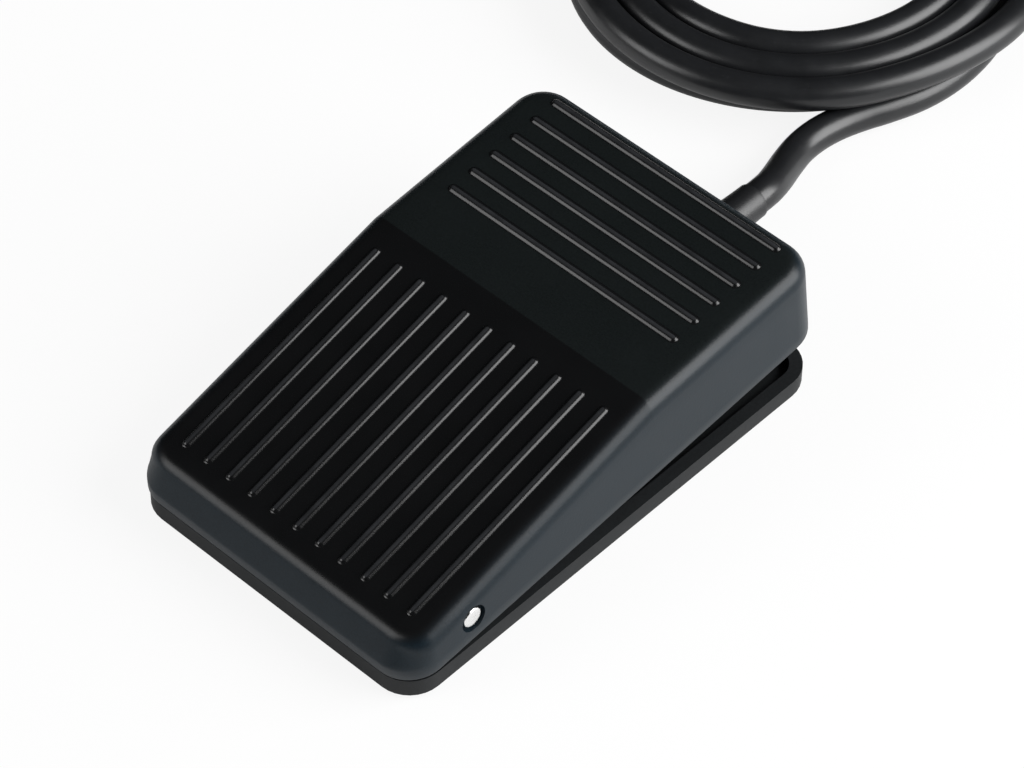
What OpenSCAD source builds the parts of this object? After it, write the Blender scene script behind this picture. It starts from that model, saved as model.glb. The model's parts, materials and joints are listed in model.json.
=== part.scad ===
// Foot switch: a sprung pedal over a low base, with a snap-action switch and a three-core lead.
// Millimetres. Z is up and 0 is the floor, +Y points from the toe end to the lead, +X to the right.
// The pedal, the lever and the plunger are drawn as they stand with the pedal fully down,
// and are then swung or slid back to where the springs hold them.

/* [Pedal] */
// Length of the pedal shell
pedal_l = 102.7; // [90:0.5:130]
// Width of the pedal shell
pedal_w = 66; // [60:0.5:90]
// Radius of the pedal's corners seen from above
corner_r = 7; // [5:0.5:9]
// Thickness of the pedal shell
pedal_wall = 2; // [1.8:0.1:2.4]
// Radius of the edge round the tread
edge_r = 3.4; // [2.6:0.1:4.4]
// Height of the heel panel above the floor with the pedal fully down
heel_h = 24.4; // [24:0.1:28]
// Height of the tread at the toe edge with the pedal fully down
toe_h = 13.8; // [13.5:0.1:16]
// Distance of the crease in the tread from the toe edge
crease_at = 59.9; // [50:0.1:64]
// How far the side and rear walls lean in from the skirt to the tread
side_lean = 0.5; // [0:0.1:1]
// How far the toe face leans back above its bend
toe_lean = 1.3; // [0.5:0.1:2]
// Height of the bend in the toe face above the skirt
toe_bend = 2.7; // [1.5:0.1:3.5]
// Angle that the pedal swings through
travel_angle = 5.2; // [3:0.1:5.4]
// Gap left between skirt and base with the pedal fully down
skirt_gap = 1.65; // [1.5:0.05:2.5]

/* [Tread ribs] */
// Number of lengthwise ribs on the toe slope
toe_ribs = 11; // [7:2:11]
// Spacing of the lengthwise ribs
toe_pitch = 5.25; // [4:0.05:5.4]
// Number of crosswise ribs on the heel panel
heel_ribs = 6; // [3:1:7]
// Spacing of the crosswise ribs
heel_pitch = 5.2; // [4:0.05:5.4]
// Width of a rib where it meets the tread
rib_w = 1.7; // [1.2:0.1:2]
// Height of a rib above the tread
rib_h = 0.5; // [0.3:0.05:0.8]

/* [Base] */
// Gap between the pedal's outline and the base's outline
base_inset = 0.4; // [0.2:0.1:1]
// Thickness of the base floor
floor_t = 2; // [1.6:0.1:3]
// Height of the base rim above the underside
rim_h = 4; // [3.6:0.1:4.2]
// Thickness of the base rim
rim_t = 2.4; // [1.8:0.1:3]
// Diameter of a rubber foot
foot_d = 10; // [8:0.5:12]
// Height that a foot stands below the base
foot_out = 0.8; // [0.5:0.1:1.5]
// Depth of the seat that a foot is glued into
foot_seat = 0.8; // [0.4:0.1:1]

/* [Hinge] */
// Diameter of the steel hinge pin
pin_d = 4; // [3:0.1:4.5]
// Distance of the pin from the toe edge
pin_at = 15.6; // [13:0.1:20]
// Height of the pin above the floor
pin_z = 11.2; // [10.8:0.1:11.5]
// Radial running clearance of the pedal on the pin
pin_play = 0.08; // [0.02:0.01:0.1]
// Thickness of a hinge lug on the base
lug_t = 4; // [3:0.5:6]

/* [Return springs] */
// Outer diameter of a return spring
spring_d = 9; // [7:0.5:10]
// Wire diameter of a return spring
wire_d = 0.9; // [0.6:0.1:1.2]
// Number of coils of a return spring
spring_turns = 6; // [4:1:8]
// Distance of each spring from the middle line
spring_x = 19; // [18:0.5:22]
// Distance of the springs from the pin
spring_at = 55; // [48:0.5:60]

/* [Snap switch] */
// Length of the switch case
case_l = 27.8; // [27:0.1:28.5]
// Width of the switch case
case_w = 10.3; // [10:0.1:11]
// Height of the switch case
case_h = 15.9; // [15.5:0.1:16.5]
// Distance of the case from the pin
case_at = 39.2; // [39:0.1:40]
// Thickness of the case walls and its cover
case_wall = 1.2; // [1:0.1:1.5]
// Lengthwise spacing of the two mounting holes
hole_span = 22.2; // [22:0.1:22.4]
// Upright spacing of the two mounting holes
hole_rise = 10.3; // [10:0.1:10.5]
// Distance from the lever's pivot to where the pedal presses it
lever_reach = 22; // [20:0.5:23]
// Distance from the lever's pivot to the plunger
plunger_reach = 5; // [4.5:0.1:6]
// Thickness of the lever
lever_t = 0.4; // [0.3:0.1:0.6]
// Diameter of the plunger
plunger_d = 2.4; // [2:0.1:3]

/* [Lead] */
// Diameter of the lead
cord_d = 6.2; // [6:0.1:6.6]
// Diameter of an insulated core
core_d = 2.3; // [1.8:0.1:2.5]
// Height of the lead's axis in the gland
gland_z = 7.2; // [7:0.1:8]
// Length of the tapered strain relief outside the base
relief_l = 20; // [18:1:22]
// Radius of the coil at the middle of its turns
coil_mid_r = 34.2; // [34:0.1:35]

/* [Hidden] */

$fn = 48;
// Facets of the shapes inside a hull
hull_fn = 32;
// Overlap of a cutting tool past the face it cuts
over = 1;
// Depth that a joined feature reaches into the wall that carries it
root = 0.6;
// Clearance between parts that only lie side by side
slack = 0.3;

// Base, from the floor up
base_short = 0.2;
base_l = pedal_l - 2 * base_inset - base_short;
base_w = pedal_w - 2 * base_inset;
base_r = corner_r - base_inset;
floor_z = foot_out + floor_t;
rim_z = foot_out + rim_h;
skirt_z = rim_z + skirt_gap;
base_edge = 0.5;

// Pedal, fully down. It stands a little nearer the toe than the base does
pedal_shift = 0.25;
pedal_front = -pedal_l / 2 - pedal_shift;
pedal_rear = pedal_front + pedal_l;
crease_y = pedal_front + crease_at;
tread_slope = atan((heel_h - toe_h) / crease_at);
ceiling_h = heel_h - pedal_wall;
// Smallest radius that the inside of the tread's edge keeps
inner_edge = 0.8;
// Height of the slices that a hull stretches between
slice = 0.1;
function tread_z(y) = min(heel_h, toe_h + (y - pedal_front) * tan(tread_slope));

// Hinge
pin_y = pedal_front + pin_at;
pin_end = 0.5;
pin_l = pedal_w - 2 * pin_end;
boss_r = pin_d / 2 + 2.2;
wall_in = pedal_w / 2 - pedal_wall - side_lean;
boss_l = 2.4;
lug_out = wall_in - boss_l - slack;
lug_in = lug_out - lug_t;
lug_r = pin_d / 2 + 1.7;
lug_foot = lug_r + 4;
lug_lean = 20;
lug_relief = 0.3;
pin_eye = pin_d + 1.2;
pin_eye_t = 1.3;

// Ribs of the tread
toe_rib_start = 8.2;
toe_rib_end = crease_at - 3.9;
heel_rib_rear = 4;
heel_rib_l = pedal_w - 13.6;
rib_r = (rib_w * rib_w / 4 + rib_h * rib_h) / (2 * rib_h);

// Webs under the tread, and the posts that they come down on
web_t = 1.4;
web_h = 2.4;
web_x = spring_x - spring_d / 2 - 2.6;
web_start = pin_at + 12;
web_end = 8;
stop_d = 4;
stop_gap = 0.15;
gusset_l = 5;
gusset_h = 12;
stop_y = pedal_rear - 14;

// Blade inside the case, its height above the underside of the case
blade_h = 8.6;
blade_t = 0.3;

// Snap switch
case_front = pin_y + case_at;
case_z = floor_z + slack;
case_top = case_z + case_h;
case_half = case_w / 2;
hole_in = 2.8;
screw_d = 3;
screw_hole = 3.1;
screw_play = 0.2;
sleeve_t = 0.9;
head_r = 2.6;
head_t = 2;
head_edge = 0.6;
tip_edge = 0.4;
slot_w = 0.6;
pivot_y = case_front + 2.6;
pivot_z = case_top + 0.9;
ear_r = 0.9;
ear_t = 1.1;
lever_w = 4.4;
lever_tip = 3;
lever_pin_d = 0.9;
lever_play = 0.04;
press_y = pivot_y + lever_reach;
press_gap = 0.25;
nub_r = 4;
nub_z = pivot_z + lever_t / 2 + press_gap;
// The lever swings as far as the pedal lowers the place where it is pressed
press_drop = (press_y - pin_y) * sin(travel_angle);
lever_angle = asin(press_drop / lever_reach);
plunger_y = pivot_y + plunger_reach;
plunger_drop = plunger_reach * tan(lever_angle);
plunger_dome = plunger_d / 2;
plunger_play = 0.1;
plunger_top = pivot_z - lever_t / 2 - 0.2;
plunger_flange_d = plunger_d + 1.6;
plunger_flange_t = 1;
plunger_foot = case_z + blade_h + blade_t / 2 + slack;
cavity_l = case_l - 2 * case_wall;
cavity_h = case_h - 2 * case_wall;

blade_w = 3.4;
blade_in = 4.4;
blade_l = 17.5;
blade_slot_w = blade_w / 2.5;
blade_slot_in = 4;
blade_slot_l = blade_l - 10;
com_post_t = 1.2;
contact_d = 3;
contact_t = 0.5;
contact_y = case_front + blade_in + blade_l - contact_d / 2;
contact_gap = 0.55;
blade_play = 0.1;
fixed_gap = 0.3;
tab_w = 4.8;
tab_t = 0.8;
tab_l = 5.5;
tab_hole = 1.7;
drop_r = 1.3;
drop_h = 0.8;
com_h = 4.2;
nc_h = blade_h + blade_t / 2 + contact_t + fixed_gap + contact_t + tab_t / 2;
no_h = blade_h - blade_t / 2 - contact_t - fixed_gap - contact_gap - contact_t - tab_t / 2;

// Cradle plate beside the switch: it ends past the case, is high at the front screw and low at the
// rear one, is held up by two ribs and carries two pads that the case stands on
plate_t = 3;
plate_x = case_half + 0.1;
plate_past = 1;
plate_rim = 3;
plate_high_l = 14;
plate_corner = 2;
plate_rib_t = 1.6;
plate_rib_l = 5;
plate_rib_h = 7;
plate_rib_in = 3;
plate_rib_rear = 9;
pad_l = 3;
pad_in = 4;
pad_rear = 6;
nut_af = 5.5;
nut_t = 2.4;
nut_sink = 1.4;
nut_play = 0.1;

// Gland, clamp and lead
neck_r = cord_d / 2 + 1.2;
flange_r = neck_r + 0.7;
tower_half = flange_r + 1.4;
tower_t = 4;
tower_out = base_l / 2;
tower_in = tower_out - tower_t;
flange_t = 1.6;
relief_end_r = cord_d / 2 + 0.8;
relief_rings = 5;
relief_collar = 2.4;
// Share of each ring's spacing that is cut away, and what the cut leaves over the lead
groove_share = 0.4;
groove_floor = 0.6;
relief_end = tower_out + relief_l;
notch_gap = 1.2;
clamp_w = 4;
clamp_y = tower_in - flange_t - 2 * slack - clamp_w / 2;
clamp_t = 2.6;
clamp_hoop = 1.8;
clamp_screw_x = cord_d / 2 + screw_d / 2 + 2.4;
clamp_half = clamp_screw_x + 3.5;
clamp_screw_l = 6.5;
pilot_d = 2.5;
sheath_end = clamp_y - clamp_w / 2 - 1.5;
cord_r = cord_d / 2;

// Cores: each lies in the sheath at its own third of a turn, and the joints stand on the tabs
core_r = core_d / 2;
core_out = core_d * 0.6;
core_lift = core_r + 0.1;
core_sides = 8;
// How far a core reaches back into the sheath, and a strand into its core
core_root = 0.8;
strand_root = 0.5;
strand_sides = 6;

// Springs
spring_y = pin_y + spring_at;
spring_r = (spring_d - wire_d) / 2;
spring_floor = floor_z + 0.1;
spring_rise = spring_at * sin(travel_angle);
spring_l = ceiling_h - spring_floor + spring_rise - 0.95;
spring_flat = 0.75;
spring_end_pitch = wire_d + 0.1;
// The pegs sway over the springs as the pedal swings, so they stand midway at half travel
peg_sway = (ceiling_h - pin_z) * sin(travel_angle);
peg_y = spring_y + peg_sway / 2;
peg_d = spring_d - 2 * wire_d - peg_sway - 4 * slack;
peg_h = 3;
cup_t = 1.2;
cup_h = 3.2;

// Feet, and the ribs that stiffen the floor
foot_play = 0.2;
foot_margin = 3.4;
foot_x = base_w / 2 - foot_d / 2 - foot_margin;
foot_y = base_l / 2 - foot_d / 2 - foot_margin;
floor_rib_h = 1.6;
floor_rib_at = lug_foot + 2;
floor_rib_l = spring_at - floor_rib_at - 10;

brown = [0.35, 0.18, 0.08];
blue = [0.1, 0.25, 0.65];
black = [0.05, 0.05, 0.05];
// Where the cores leave the sheath, and the tabs that they are soldered to
core_side = core_out * cos(30);
core_low = gland_z - core_out / 2;
tab_end = case_front + case_l + tab_l;
tab_spot = tab_l - tab_w / 2;
com_top = case_z + com_h + tab_t / 2;
no_top = case_z + no_h + tab_t / 2;
nc_top = case_z + nc_h + tab_t / 2;
core_lane = (case_half + head_t + web_x - web_t / 2) / 2;
lane_z = floor_z + core_r + 0.1;
core_no = [[0, sheath_end + core_root, gland_z + core_out], [0, sheath_end - 0.4, gland_z + core_out + 0.3],
           [0, sheath_end - 0.6 * (sheath_end - tab_end), no_top + core_lift - 0.3],
           [0, tab_end - 0.4, no_top + core_lift],
           [0, tab_end - tab_spot + 0.6, no_top + core_lift]];
core_nc = [[core_side, sheath_end + core_root, core_low],
           [core_side + 0.2, sheath_end - 0.4, core_low + 0.1],
           [core_side + 1.7, tab_end + 1, core_low + 1.2], [core_side + 2.9, tab_end - 0.1, core_low + 3.6],
           [core_side + 3, tab_end - 0.7, core_low + 6.2],
           [core_side + 2.3, tab_end - 1.1, nc_top + core_lift - 0.5],
           [core_side + 0.5, tab_end - 1.7, nc_top + core_lift + 0.1],
           [0, tab_end - tab_spot + 0.5, nc_top + core_lift]];
core_com = [[-core_side, sheath_end + core_root, core_low],
            [-core_side - 0.3, sheath_end - 0.4, core_low - 0.1],
            [-core_side - 2.2, tab_end + 0.4, core_low - 1.4], [-core_side - 5.2, tab_end - 1.4, lane_z],
            [-core_lane + 0.4, tab_end - 4.4, lane_z], [-core_lane, tab_end - 9, lane_z],
            [-core_lane, case_front + 9, lane_z], [-core_lane + 0.2, case_front + 2, lane_z + 0.2],
            [-core_lane + 1.4, case_front - 2.6, com_top - 2.1], [-5.6, case_front - 4.9, com_top + 0.4],
            [-2.6, case_front - 4.5, com_top + core_lift],
            [-0.4, case_front - tab_spot, com_top + core_lift]];

// The lead's route to the coil, with Y counted from the end of the strain relief
lead_points = [[0, 0, gland_z], [0, 2, gland_z], [-0.5, 5, gland_z - 0.6], [-1.9, 9, cord_r + 2.2],
               [-3.8, 14, cord_r + 0.8], [-5.1, 19, cord_r + 0.1], [-5.2, 24, cord_r],
               [-4.3, 29, cord_r], [-2.6, 34, cord_r], [-0.9, 38, cord_r]];
lead_route = [for (p = lead_points) p + [0, relief_end, 0]];
coil_x = -37.8;
coil_y = relief_end + 54.4;
coil_cols = 3;
coil_rows = 2;
coil_in = coil_mid_r - coil_cols * cord_d / 2;
coil_out = coil_mid_r + coil_cols * cord_d / 2;
coil_h = coil_rows * cord_d;
tie_w = 5;
tie_t = 0.9;
tie_angle = 215;
tie_play = 0.4;
// The tail lies against the outside of the coil and ends in bare cores
tail_start = 76;
tail_end = 170;
tail_r = coil_out + cord_r + 0.2;
tail_path = [for (a = [tail_start:6:tail_end])
    [coil_x + tail_r * cos(a), coil_y + tail_r * sin(a), cord_r]];
core_tail = 14;
strand_l = 7;
strand_d = 1.1;
fan_pitch = 4.2;

// Points of a smooth curve through a list of points, with n steps between neighbours
function curve_at(a, b, c, d, t) =
    0.5 * ((2 * b) + (c - a) * t + (2 * a - 5 * b + 4 * c - d) * t * t
           + (3 * b - a - 3 * c + d) * t * t * t);
function smooth(p, n) = let (m = len(p) - 1)
    [for (i = [0:m - 1], k = [0:n - 1])
        curve_at(p[max(i - 1, 0)], p[i], p[i + 1], p[min(i + 2, m)], k / n), p[m]];
function unit(v) = v / norm(v);
// Rings of a round tube along a path, each square to the path
function heading(p, i) = unit(p[min(i + 1, len(p) - 1)] - p[max(i - 1, 0)]);
function side_of(h) = unit(cross(h, abs(h[2]) > 0.9 ? [1, 0, 0] : [0, 0, 1]));
function tube_ring(c, h, r, n) = let (s = side_of(h), u = cross(s, h))
    [for (k = [0:n - 1]) c + r * (cos(360 * k / n) * s + sin(360 * k / n) * u)];

// Path of core i of the tail from one distance past the sheath's end to another:
// it starts in its third of the sheath and spreads out flat on the floor
function tail_core_path(i, from, to) =
    let (last = len(tail_path) - 1, end = tail_path[last], way = unit(end - tail_path[last - 1]),
         side = [way[1], -way[0], 0], turn = 90 + 120 * i)
    [for (k = [0:6]) let (d = from + (to - from) * k / 6,
                          f = (1 - cos(180 * min(max(d / core_tail, 0), 1))) / 2)
        end + d * way + ((1 - f) * core_out * cos(turn) + f * fan_pitch * [0, -1, 1][i]) * side
        + [0, 0, (1 - f) * core_out * sin(turn) - f * (cord_r - core_r)]];

// Closed tube swept along a path
module tube_along(path, r, n) {
    m = len(path);
    points = [for (i = [0:m - 1]) each tube_ring(path[i], heading(path, i), r, n)];
    sides = [for (i = [0:m - 2], k = [0:n - 1]) let (a = i * n + k, b = i * n + (k + 1) % n)
        each [[a, b, b + n], [a, b + n, a + n]]];
    polyhedron(points, concat(sides, [[for (k = [n - 1:-1:0]) k]],
        [[for (k = [0:n - 1]) (m - 1) * n + k]]), convexity = 6);
}

// Rectangle with round corners, centred
module round_rect(l, w, r) {
    square([w, l - 2 * r], center = true);
    square([w - 2 * r, l], center = true);
    for (x = [-1, 1], y = [-1, 1])
        translate([x * (w / 2 - r), y * (l / 2 - r)]) circle(r);
}

// Cylinder along X from x0 to x1
module bar_x(x0, x1, r) {
    translate([x0, 0, 0]) rotate([0, 90, 0]) cylinder(r = r, h = x1 - x0);
}

// Cylinder along Y from y0 to y1
module bar_y(y0, y1, r) {
    translate([0, y0, 0]) rotate([-90, 0, 0]) cylinder(r = r, h = y1 - y0);
}

// Swings its children up from fully down to where the springs hold the pedal
module pedal_at_rest() {
    translate([0, pin_y, pin_z]) rotate([travel_angle, 0, 0]) translate([0, -pin_y, -pin_z]) children();
}

// Round block with a rounded upper edge, its top at z = 0
module edge_puck(r, edge) {
    translate([0, 0, -edge]) rotate_extrude($fn = hull_fn) {
        translate([r - edge, 0]) intersection() {
            circle(edge, $fn = hull_fn);
            square(edge);
        }
        square([r - edge, edge]);
    }
}

// Outer form of the pedal, moved inwards by inset on every side but the skirt
module pedal_form(inset, skirt_drop) {
    r = corner_r - inset;
    edge = max(edge_r - inset, inner_edge);
    half = pedal_w / 2 - corner_r;
    front = pedal_front + corner_r;
    rear = pedal_rear - corner_r;
    puck_front = front + toe_lean;
    hull() {
        for (x = [-1, 1]) {
            translate([x * half, front, skirt_z - skirt_drop])
                cylinder(r = r, h = toe_bend + skirt_drop, $fn = hull_fn);
            translate([x * half, rear, skirt_z - skirt_drop])
                cylinder(r = r, h = slice, $fn = hull_fn);
            translate([x * (half - side_lean), puck_front, tread_z(puck_front) - inset])
                rotate([tread_slope, 0, 0]) edge_puck(r, edge);
            translate([x * (half - side_lean), rear - side_lean, heel_h - inset])
                edge_puck(r, edge);
            translate([x * (half + corner_r - side_lean - inset - edge), crease_y,
                       heel_h - inset - edge])
                sphere(edge, $fn = hull_fn);
        }
    }
}

// Rib with round ends along +Y, from 0 to l, standing rib_h above z = 0
module tread_rib(l) {
    ball = rib_w / 2;
    translate([0, ball, rib_h - rib_r]) rotate([-90, 0, 0])
        rotate_extrude() intersection() {
            union() {
                square([rib_r, l - 2 * ball]);
                circle(rib_r);
                translate([0, l - 2 * ball]) circle(rib_r);
            }
            translate([0, -ball]) square([rib_r + over, l]);
        }
}

// Half-round boss on the inside of a pedal wall, for the pin
module hinge_bosses() {
    for (x = [-1, 1]) translate([0, pin_y, pin_z])
        bar_x(x > 0 ? lug_out + slack : -wall_in - root, x > 0 ? wall_in + root : -lug_out - slack,
              boss_r);
}

// Two webs that stiffen the tread and follow its slope
module tread_webs() {
    for (x = [-web_x, web_x]) from_side(x - web_t / 2, x + web_t / 2)
        polygon([for (y = [pedal_front + web_start, crease_y, pedal_rear - web_end])
                     [y, tread_z(y) - pedal_wall - web_h],
                 for (y = [pedal_rear - web_end, crease_y, pedal_front + web_start])
                     [y, tread_z(y) - pedal_wall + root]]);
}

module pedal() {
    color([0.06, 0.06, 0.065]) pedal_at_rest() difference() {
        union() {
            difference() {
                pedal_form(0, 0);
                pedal_form(pedal_wall, over);
            }
            for (i = [0:toe_ribs - 1])
                translate([(i - (toe_ribs - 1) / 2) * toe_pitch, pedal_front, toe_h])
                    rotate([tread_slope, 0, 0]) translate([0, toe_rib_start, 0])
                        tread_rib(toe_rib_end - toe_rib_start);
            for (i = [0:heel_ribs - 1])
                translate([-heel_rib_l / 2, pedal_rear - heel_rib_rear - i * heel_pitch, heel_h])
                    rotate([0, 0, -90]) tread_rib(heel_rib_l);
            hinge_bosses();
            tread_webs();
            translate([0, press_y, nub_z]) press_nub();
            for (x = [-1, 1]) translate([x * spring_x, peg_y, ceiling_h - peg_h])
                cylinder(d = peg_d, h = peg_h + root);
        }
        translate([0, pin_y, pin_z]) {
            bar_x(-pedal_w, pedal_w, pin_d / 2 + pin_play);
            for (x = [lug_in - slack, -lug_out - slack])
                bar_x(x, x + lug_t + 2 * slack, lug_r + lug_relief);
            for (x = [-1, 1])
                bar_x(x > 0 ? pedal_w / 2 - pin_eye_t : -pedal_w / 2 - over,
                      x > 0 ? pedal_w / 2 + over : -pedal_w / 2 + pin_eye_t, pin_eye / 2);
        }
        translate([0, pedal_rear - pedal_wall - 2, gland_z]) {
            bar_y(0, pedal_wall + 4, tower_half + notch_gap);
            translate([-tower_half - notch_gap, 0, -skirt_z])
                cube([2 * (tower_half + notch_gap), pedal_wall + 4, skirt_z]);
        }
    }
}

// Domed nub under the tread that presses the lever, its tip at the origin
module press_nub() {
    rotate_extrude() intersection() {
        translate([0, nub_r]) circle(nub_r);
        square([nub_r, ceiling_h + root - nub_z]);
    }
}

// Lug that carries one end of the pin, seen from the side
module lug_side() {
    translate([pin_y, pin_z]) circle(lug_r);
    polygon([[pin_y - lug_foot, floor_z - root], [pin_y + lug_foot, floor_z - root],
             [pin_y + lug_r * cos(lug_lean), pin_z + lug_r * sin(lug_lean)],
             [pin_y - lug_r * cos(lug_lean), pin_z + lug_r * sin(lug_lean)]]);
}

// Draws a side view, with Y to the right and Z up, as a solid from x0 to x1
module from_side(x0, x1) {
    translate([x0, 0, 0]) rotate([90, 0, 90]) linear_extrude(x1 - x0) children();
}

// Outer form of the base, its lower edge rounded
module base_form() {
    hull() for (x = [-1, 1], y = [-1, 1])
        translate([x * (base_w / 2 - base_r), y * (base_l / 2 - base_r), foot_out]) {
            mirror([0, 0, 1]) edge_puck(base_r, base_edge);
            translate([0, 0, base_edge]) cylinder(r = base_r, h = rim_h - base_edge, $fn = hull_fn);
        }
}

// Upright plate that the switch is screwed to
module cradle() {
    y0 = case_front - plate_past;
    y1 = case_front + case_l + plate_past;
    foot = floor_z - root;
    screw_low = case_z + hole_in;
    screw_high = screw_low + hole_rise;
    from_side(plate_x, plate_x + plate_t)
        polygon([[y0, foot], [y1, foot], [y1, screw_low + plate_rim],
                 [y0 + plate_high_l, screw_high + plate_rim], [y0 + plate_corner, screw_high + plate_rim],
                 [y0, screw_high]]);
    for (y = [y0 + plate_rib_in, y1 - plate_rib_rear])
        translate([plate_x + plate_t - root, y, foot]) rotate([90, 0, 0])
            linear_extrude(plate_rib_t) polygon([[0, 0], [plate_rib_l, 0], [0, plate_rib_h]]);
    for (y = [y0 + pad_in, y1 - pad_rear])
        translate([-case_half, y, foot]) cube([case_w, pad_l, root + slack]);
}

// Places of the switch's two mounting screws, as a side view
module at_screws() {
    translate([0, case_front + hole_in, case_z + hole_in + hole_rise]) children();
    translate([0, case_front + hole_in + hole_span, case_z + hole_in]) children();
}

// Tower with a bore that holds the strain relief
module gland_tower() {
    translate([0, 0, gland_z]) bar_y(tower_in, tower_out, tower_half);
    translate([-tower_half, tower_in, floor_z - root])
        cube([2 * tower_half, tower_t, gland_z - floor_z + root]);
}

// Block with a half-round bed that the lead is clamped on
module clamp_bed() {
    translate([-clamp_half, clamp_y - clamp_w / 2, floor_z - root])
        cube([2 * clamp_half, clamp_w, gland_z - floor_z + root]);
}

// Post that stops the pedal at the end of its travel, with a gusset on its rear side
module stop_post() {
    cylinder(d = stop_d, h = ceiling_h - web_h - stop_gap - floor_z + root);
    from_side(-web_t / 2, web_t / 2)
        polygon([[0, 0], [gusset_l, 0], [stop_d / 2 - root, gusset_h], [0, gusset_h]]);
}

module base_tray() {
    color([0.09, 0.09, 0.095]) difference() {
        union() {
            difference() {
                base_form();
                translate([0, 0, floor_z]) linear_extrude(rim_h)
                    round_rect(base_l - 2 * rim_t, base_w - 2 * rim_t, base_r - rim_t);
            }
            for (x = [lug_in, -lug_out]) from_side(x, x + lug_t) lug_side();
            for (x = [-spring_x, spring_x]) translate([x, spring_y, floor_z - root])
                cylinder(d = spring_d + 2 * (slack + cup_t), h = cup_h + root);
            cradle();
            gland_tower();
            clamp_bed();
            for (x = [-web_x, web_x]) {
                translate([x, stop_y, floor_z - root]) stop_post();
                translate([x - web_t / 2, pin_y + floor_rib_at, floor_z - root])
                    cube([web_t, floor_rib_l, root + floor_rib_h]);
            }
        }
        translate([0, pin_y, pin_z]) bar_x(-pedal_w / 2, pedal_w / 2, pin_d / 2);
        for (x = [-spring_x, spring_x]) translate([x, spring_y, floor_z])
            cylinder(d = spring_d + 2 * slack, h = cup_h + over);
        at_screws() bar_x(0, plate_x + plate_t + over, (screw_d + screw_play) / 2);
        at_screws() bar_x(plate_x + plate_t - nut_sink, plate_x + plate_t + over,
                          nut_af / sqrt(3) + nut_play, $fn = 6);
        translate([0, 0, gland_z]) {
            bar_y(tower_in - over, tower_out + over, neck_r);
            bar_y(tower_in - flange_t - slack, tower_in, flange_r + slack / 2);
            bar_y(clamp_y - clamp_w, clamp_y + clamp_w / 2 + slack, cord_r);
        }
        for (x = [-clamp_screw_x, clamp_screw_x]) translate([x, clamp_y, floor_z - root])
            cylinder(d = pilot_d, h = gland_z);
        for (x = [-foot_x, foot_x], y = [-foot_y, foot_y]) translate([x, y, 0])
            cylinder(d = foot_d + foot_play, h = foot_out + foot_seat);
    }
}

module rubber_feet() {
    color([0.12, 0.12, 0.12]) for (x = [-foot_x, foot_x], y = [-foot_y, foot_y])
        translate([x, y, 0]) cylinder(d = foot_d, h = foot_out + foot_seat);
}

module hinge_pin() {
    chamfer = 0.4;
    color([0.8, 0.8, 0.8]) translate([-pin_l / 2, pin_y, pin_z]) rotate([0, 90, 0])
        rotate_extrude() polygon([[0, 0], [pin_d / 2 - chamfer, 0], [pin_d / 2, chamfer],
                                  [pin_d / 2, pin_l - chamfer], [pin_d / 2 - chamfer, pin_l], [0, pin_l]]);
}

// Height of a spring's centre line after t turns, with a closed turn at each end
function spring_height(t) = let (end = spring_end_pitch * spring_flat, rise = spring_l - wire_d)
    t < spring_flat ? spring_end_pitch * t
    : t > spring_turns - spring_flat ? rise - spring_end_pitch * (spring_turns - t)
    : end + (t - spring_flat) / (spring_turns - 2 * spring_flat) * (rise - 2 * end);

module return_springs() {
    steps = 12;
    line = [for (i = [0:steps * spring_turns]) let (t = i / steps)
        [spring_r * cos(360 * t), spring_r * sin(360 * t), wire_d / 2 + spring_height(t)]];
    color([0.7, 0.7, 0.72]) for (x = [-spring_x, spring_x])
        translate([x, spring_y, spring_floor]) tube_along(line, wire_d / 2, 8);
}

// Hollow of the switch case, seen from the side
module case_cavity() {
    translate([case_front + case_wall, case_z + case_wall]) square([cavity_l, cavity_h]);
}

module switch_case() {
    color([0.1, 0.1, 0.1]) difference() {
        union() {
            difference() {
                from_side(-case_half + case_wall, case_half)
                    translate([case_front, case_z]) square([case_l, case_h]);
                from_side(-case_half, case_half - case_wall) case_cavity();
            }
            at_screws() bar_x(-case_half + case_wall, case_half - over, screw_hole / 2 + sleeve_t);
            for (x = [-lever_w / 2 - slack - ear_t, lever_w / 2 + slack])
                from_side(x, x + ear_t) {
                    translate([pivot_y, pivot_z]) circle(ear_r);
                    translate([pivot_y - ear_r, case_top - root])
                        square([2 * ear_r, pivot_z - case_top + root]);
                }
        }
        at_screws() bar_x(-case_half, case_half + over, screw_hole / 2);
        translate([0, plunger_y, case_top - case_wall - over])
            cylinder(d = plunger_d + plunger_play, h = case_wall + 2 * over);
        translate([0, pivot_y, pivot_z]) bar_x(-case_half, case_half, lever_pin_d / 2);
        translate([-tab_w / 2, case_front + case_l - case_wall - over, case_z + nc_h - tab_t / 2])
            cube([tab_w, case_wall + 2 * over, tab_t]);
        translate([-tab_w / 2, case_front + case_l - case_wall - over, case_z + no_h - tab_t / 2])
            cube([tab_w, case_wall + 2 * over, tab_t]);
        translate([-tab_w / 2, case_front - over, case_z + com_h - tab_t / 2])
            cube([tab_w, case_wall + 2 * over, tab_t]);
    }
}

module switch_cover() {
    color([0.16, 0.16, 0.17]) difference() {
        from_side(-case_half, -case_half + case_wall)
            translate([case_front, case_z]) square([case_l, case_h]);
        at_screws() bar_x(-case_half - over, case_half, screw_hole / 2);
    }
}

module switch_plunger() {
    color([0.75, 0.2, 0.15]) translate([0, plunger_y, plunger_drop]) {
        translate([0, 0, plunger_foot])
            cylinder(d = plunger_d, h = plunger_top - plunger_dome - plunger_foot);
        translate([0, 0, plunger_top - plunger_dome]) sphere(plunger_dome);
        translate([0, 0, case_top - case_wall - plunger_drop - plunger_flange_t - plunger_play])
            cylinder(d = plunger_flange_d, h = plunger_flange_t);
    }
}

// Swings its children up to where the released lever stands
module lever_at_rest() {
    translate([0, pivot_y, pivot_z]) rotate([lever_angle, 0, 0]) children();
}

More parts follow.
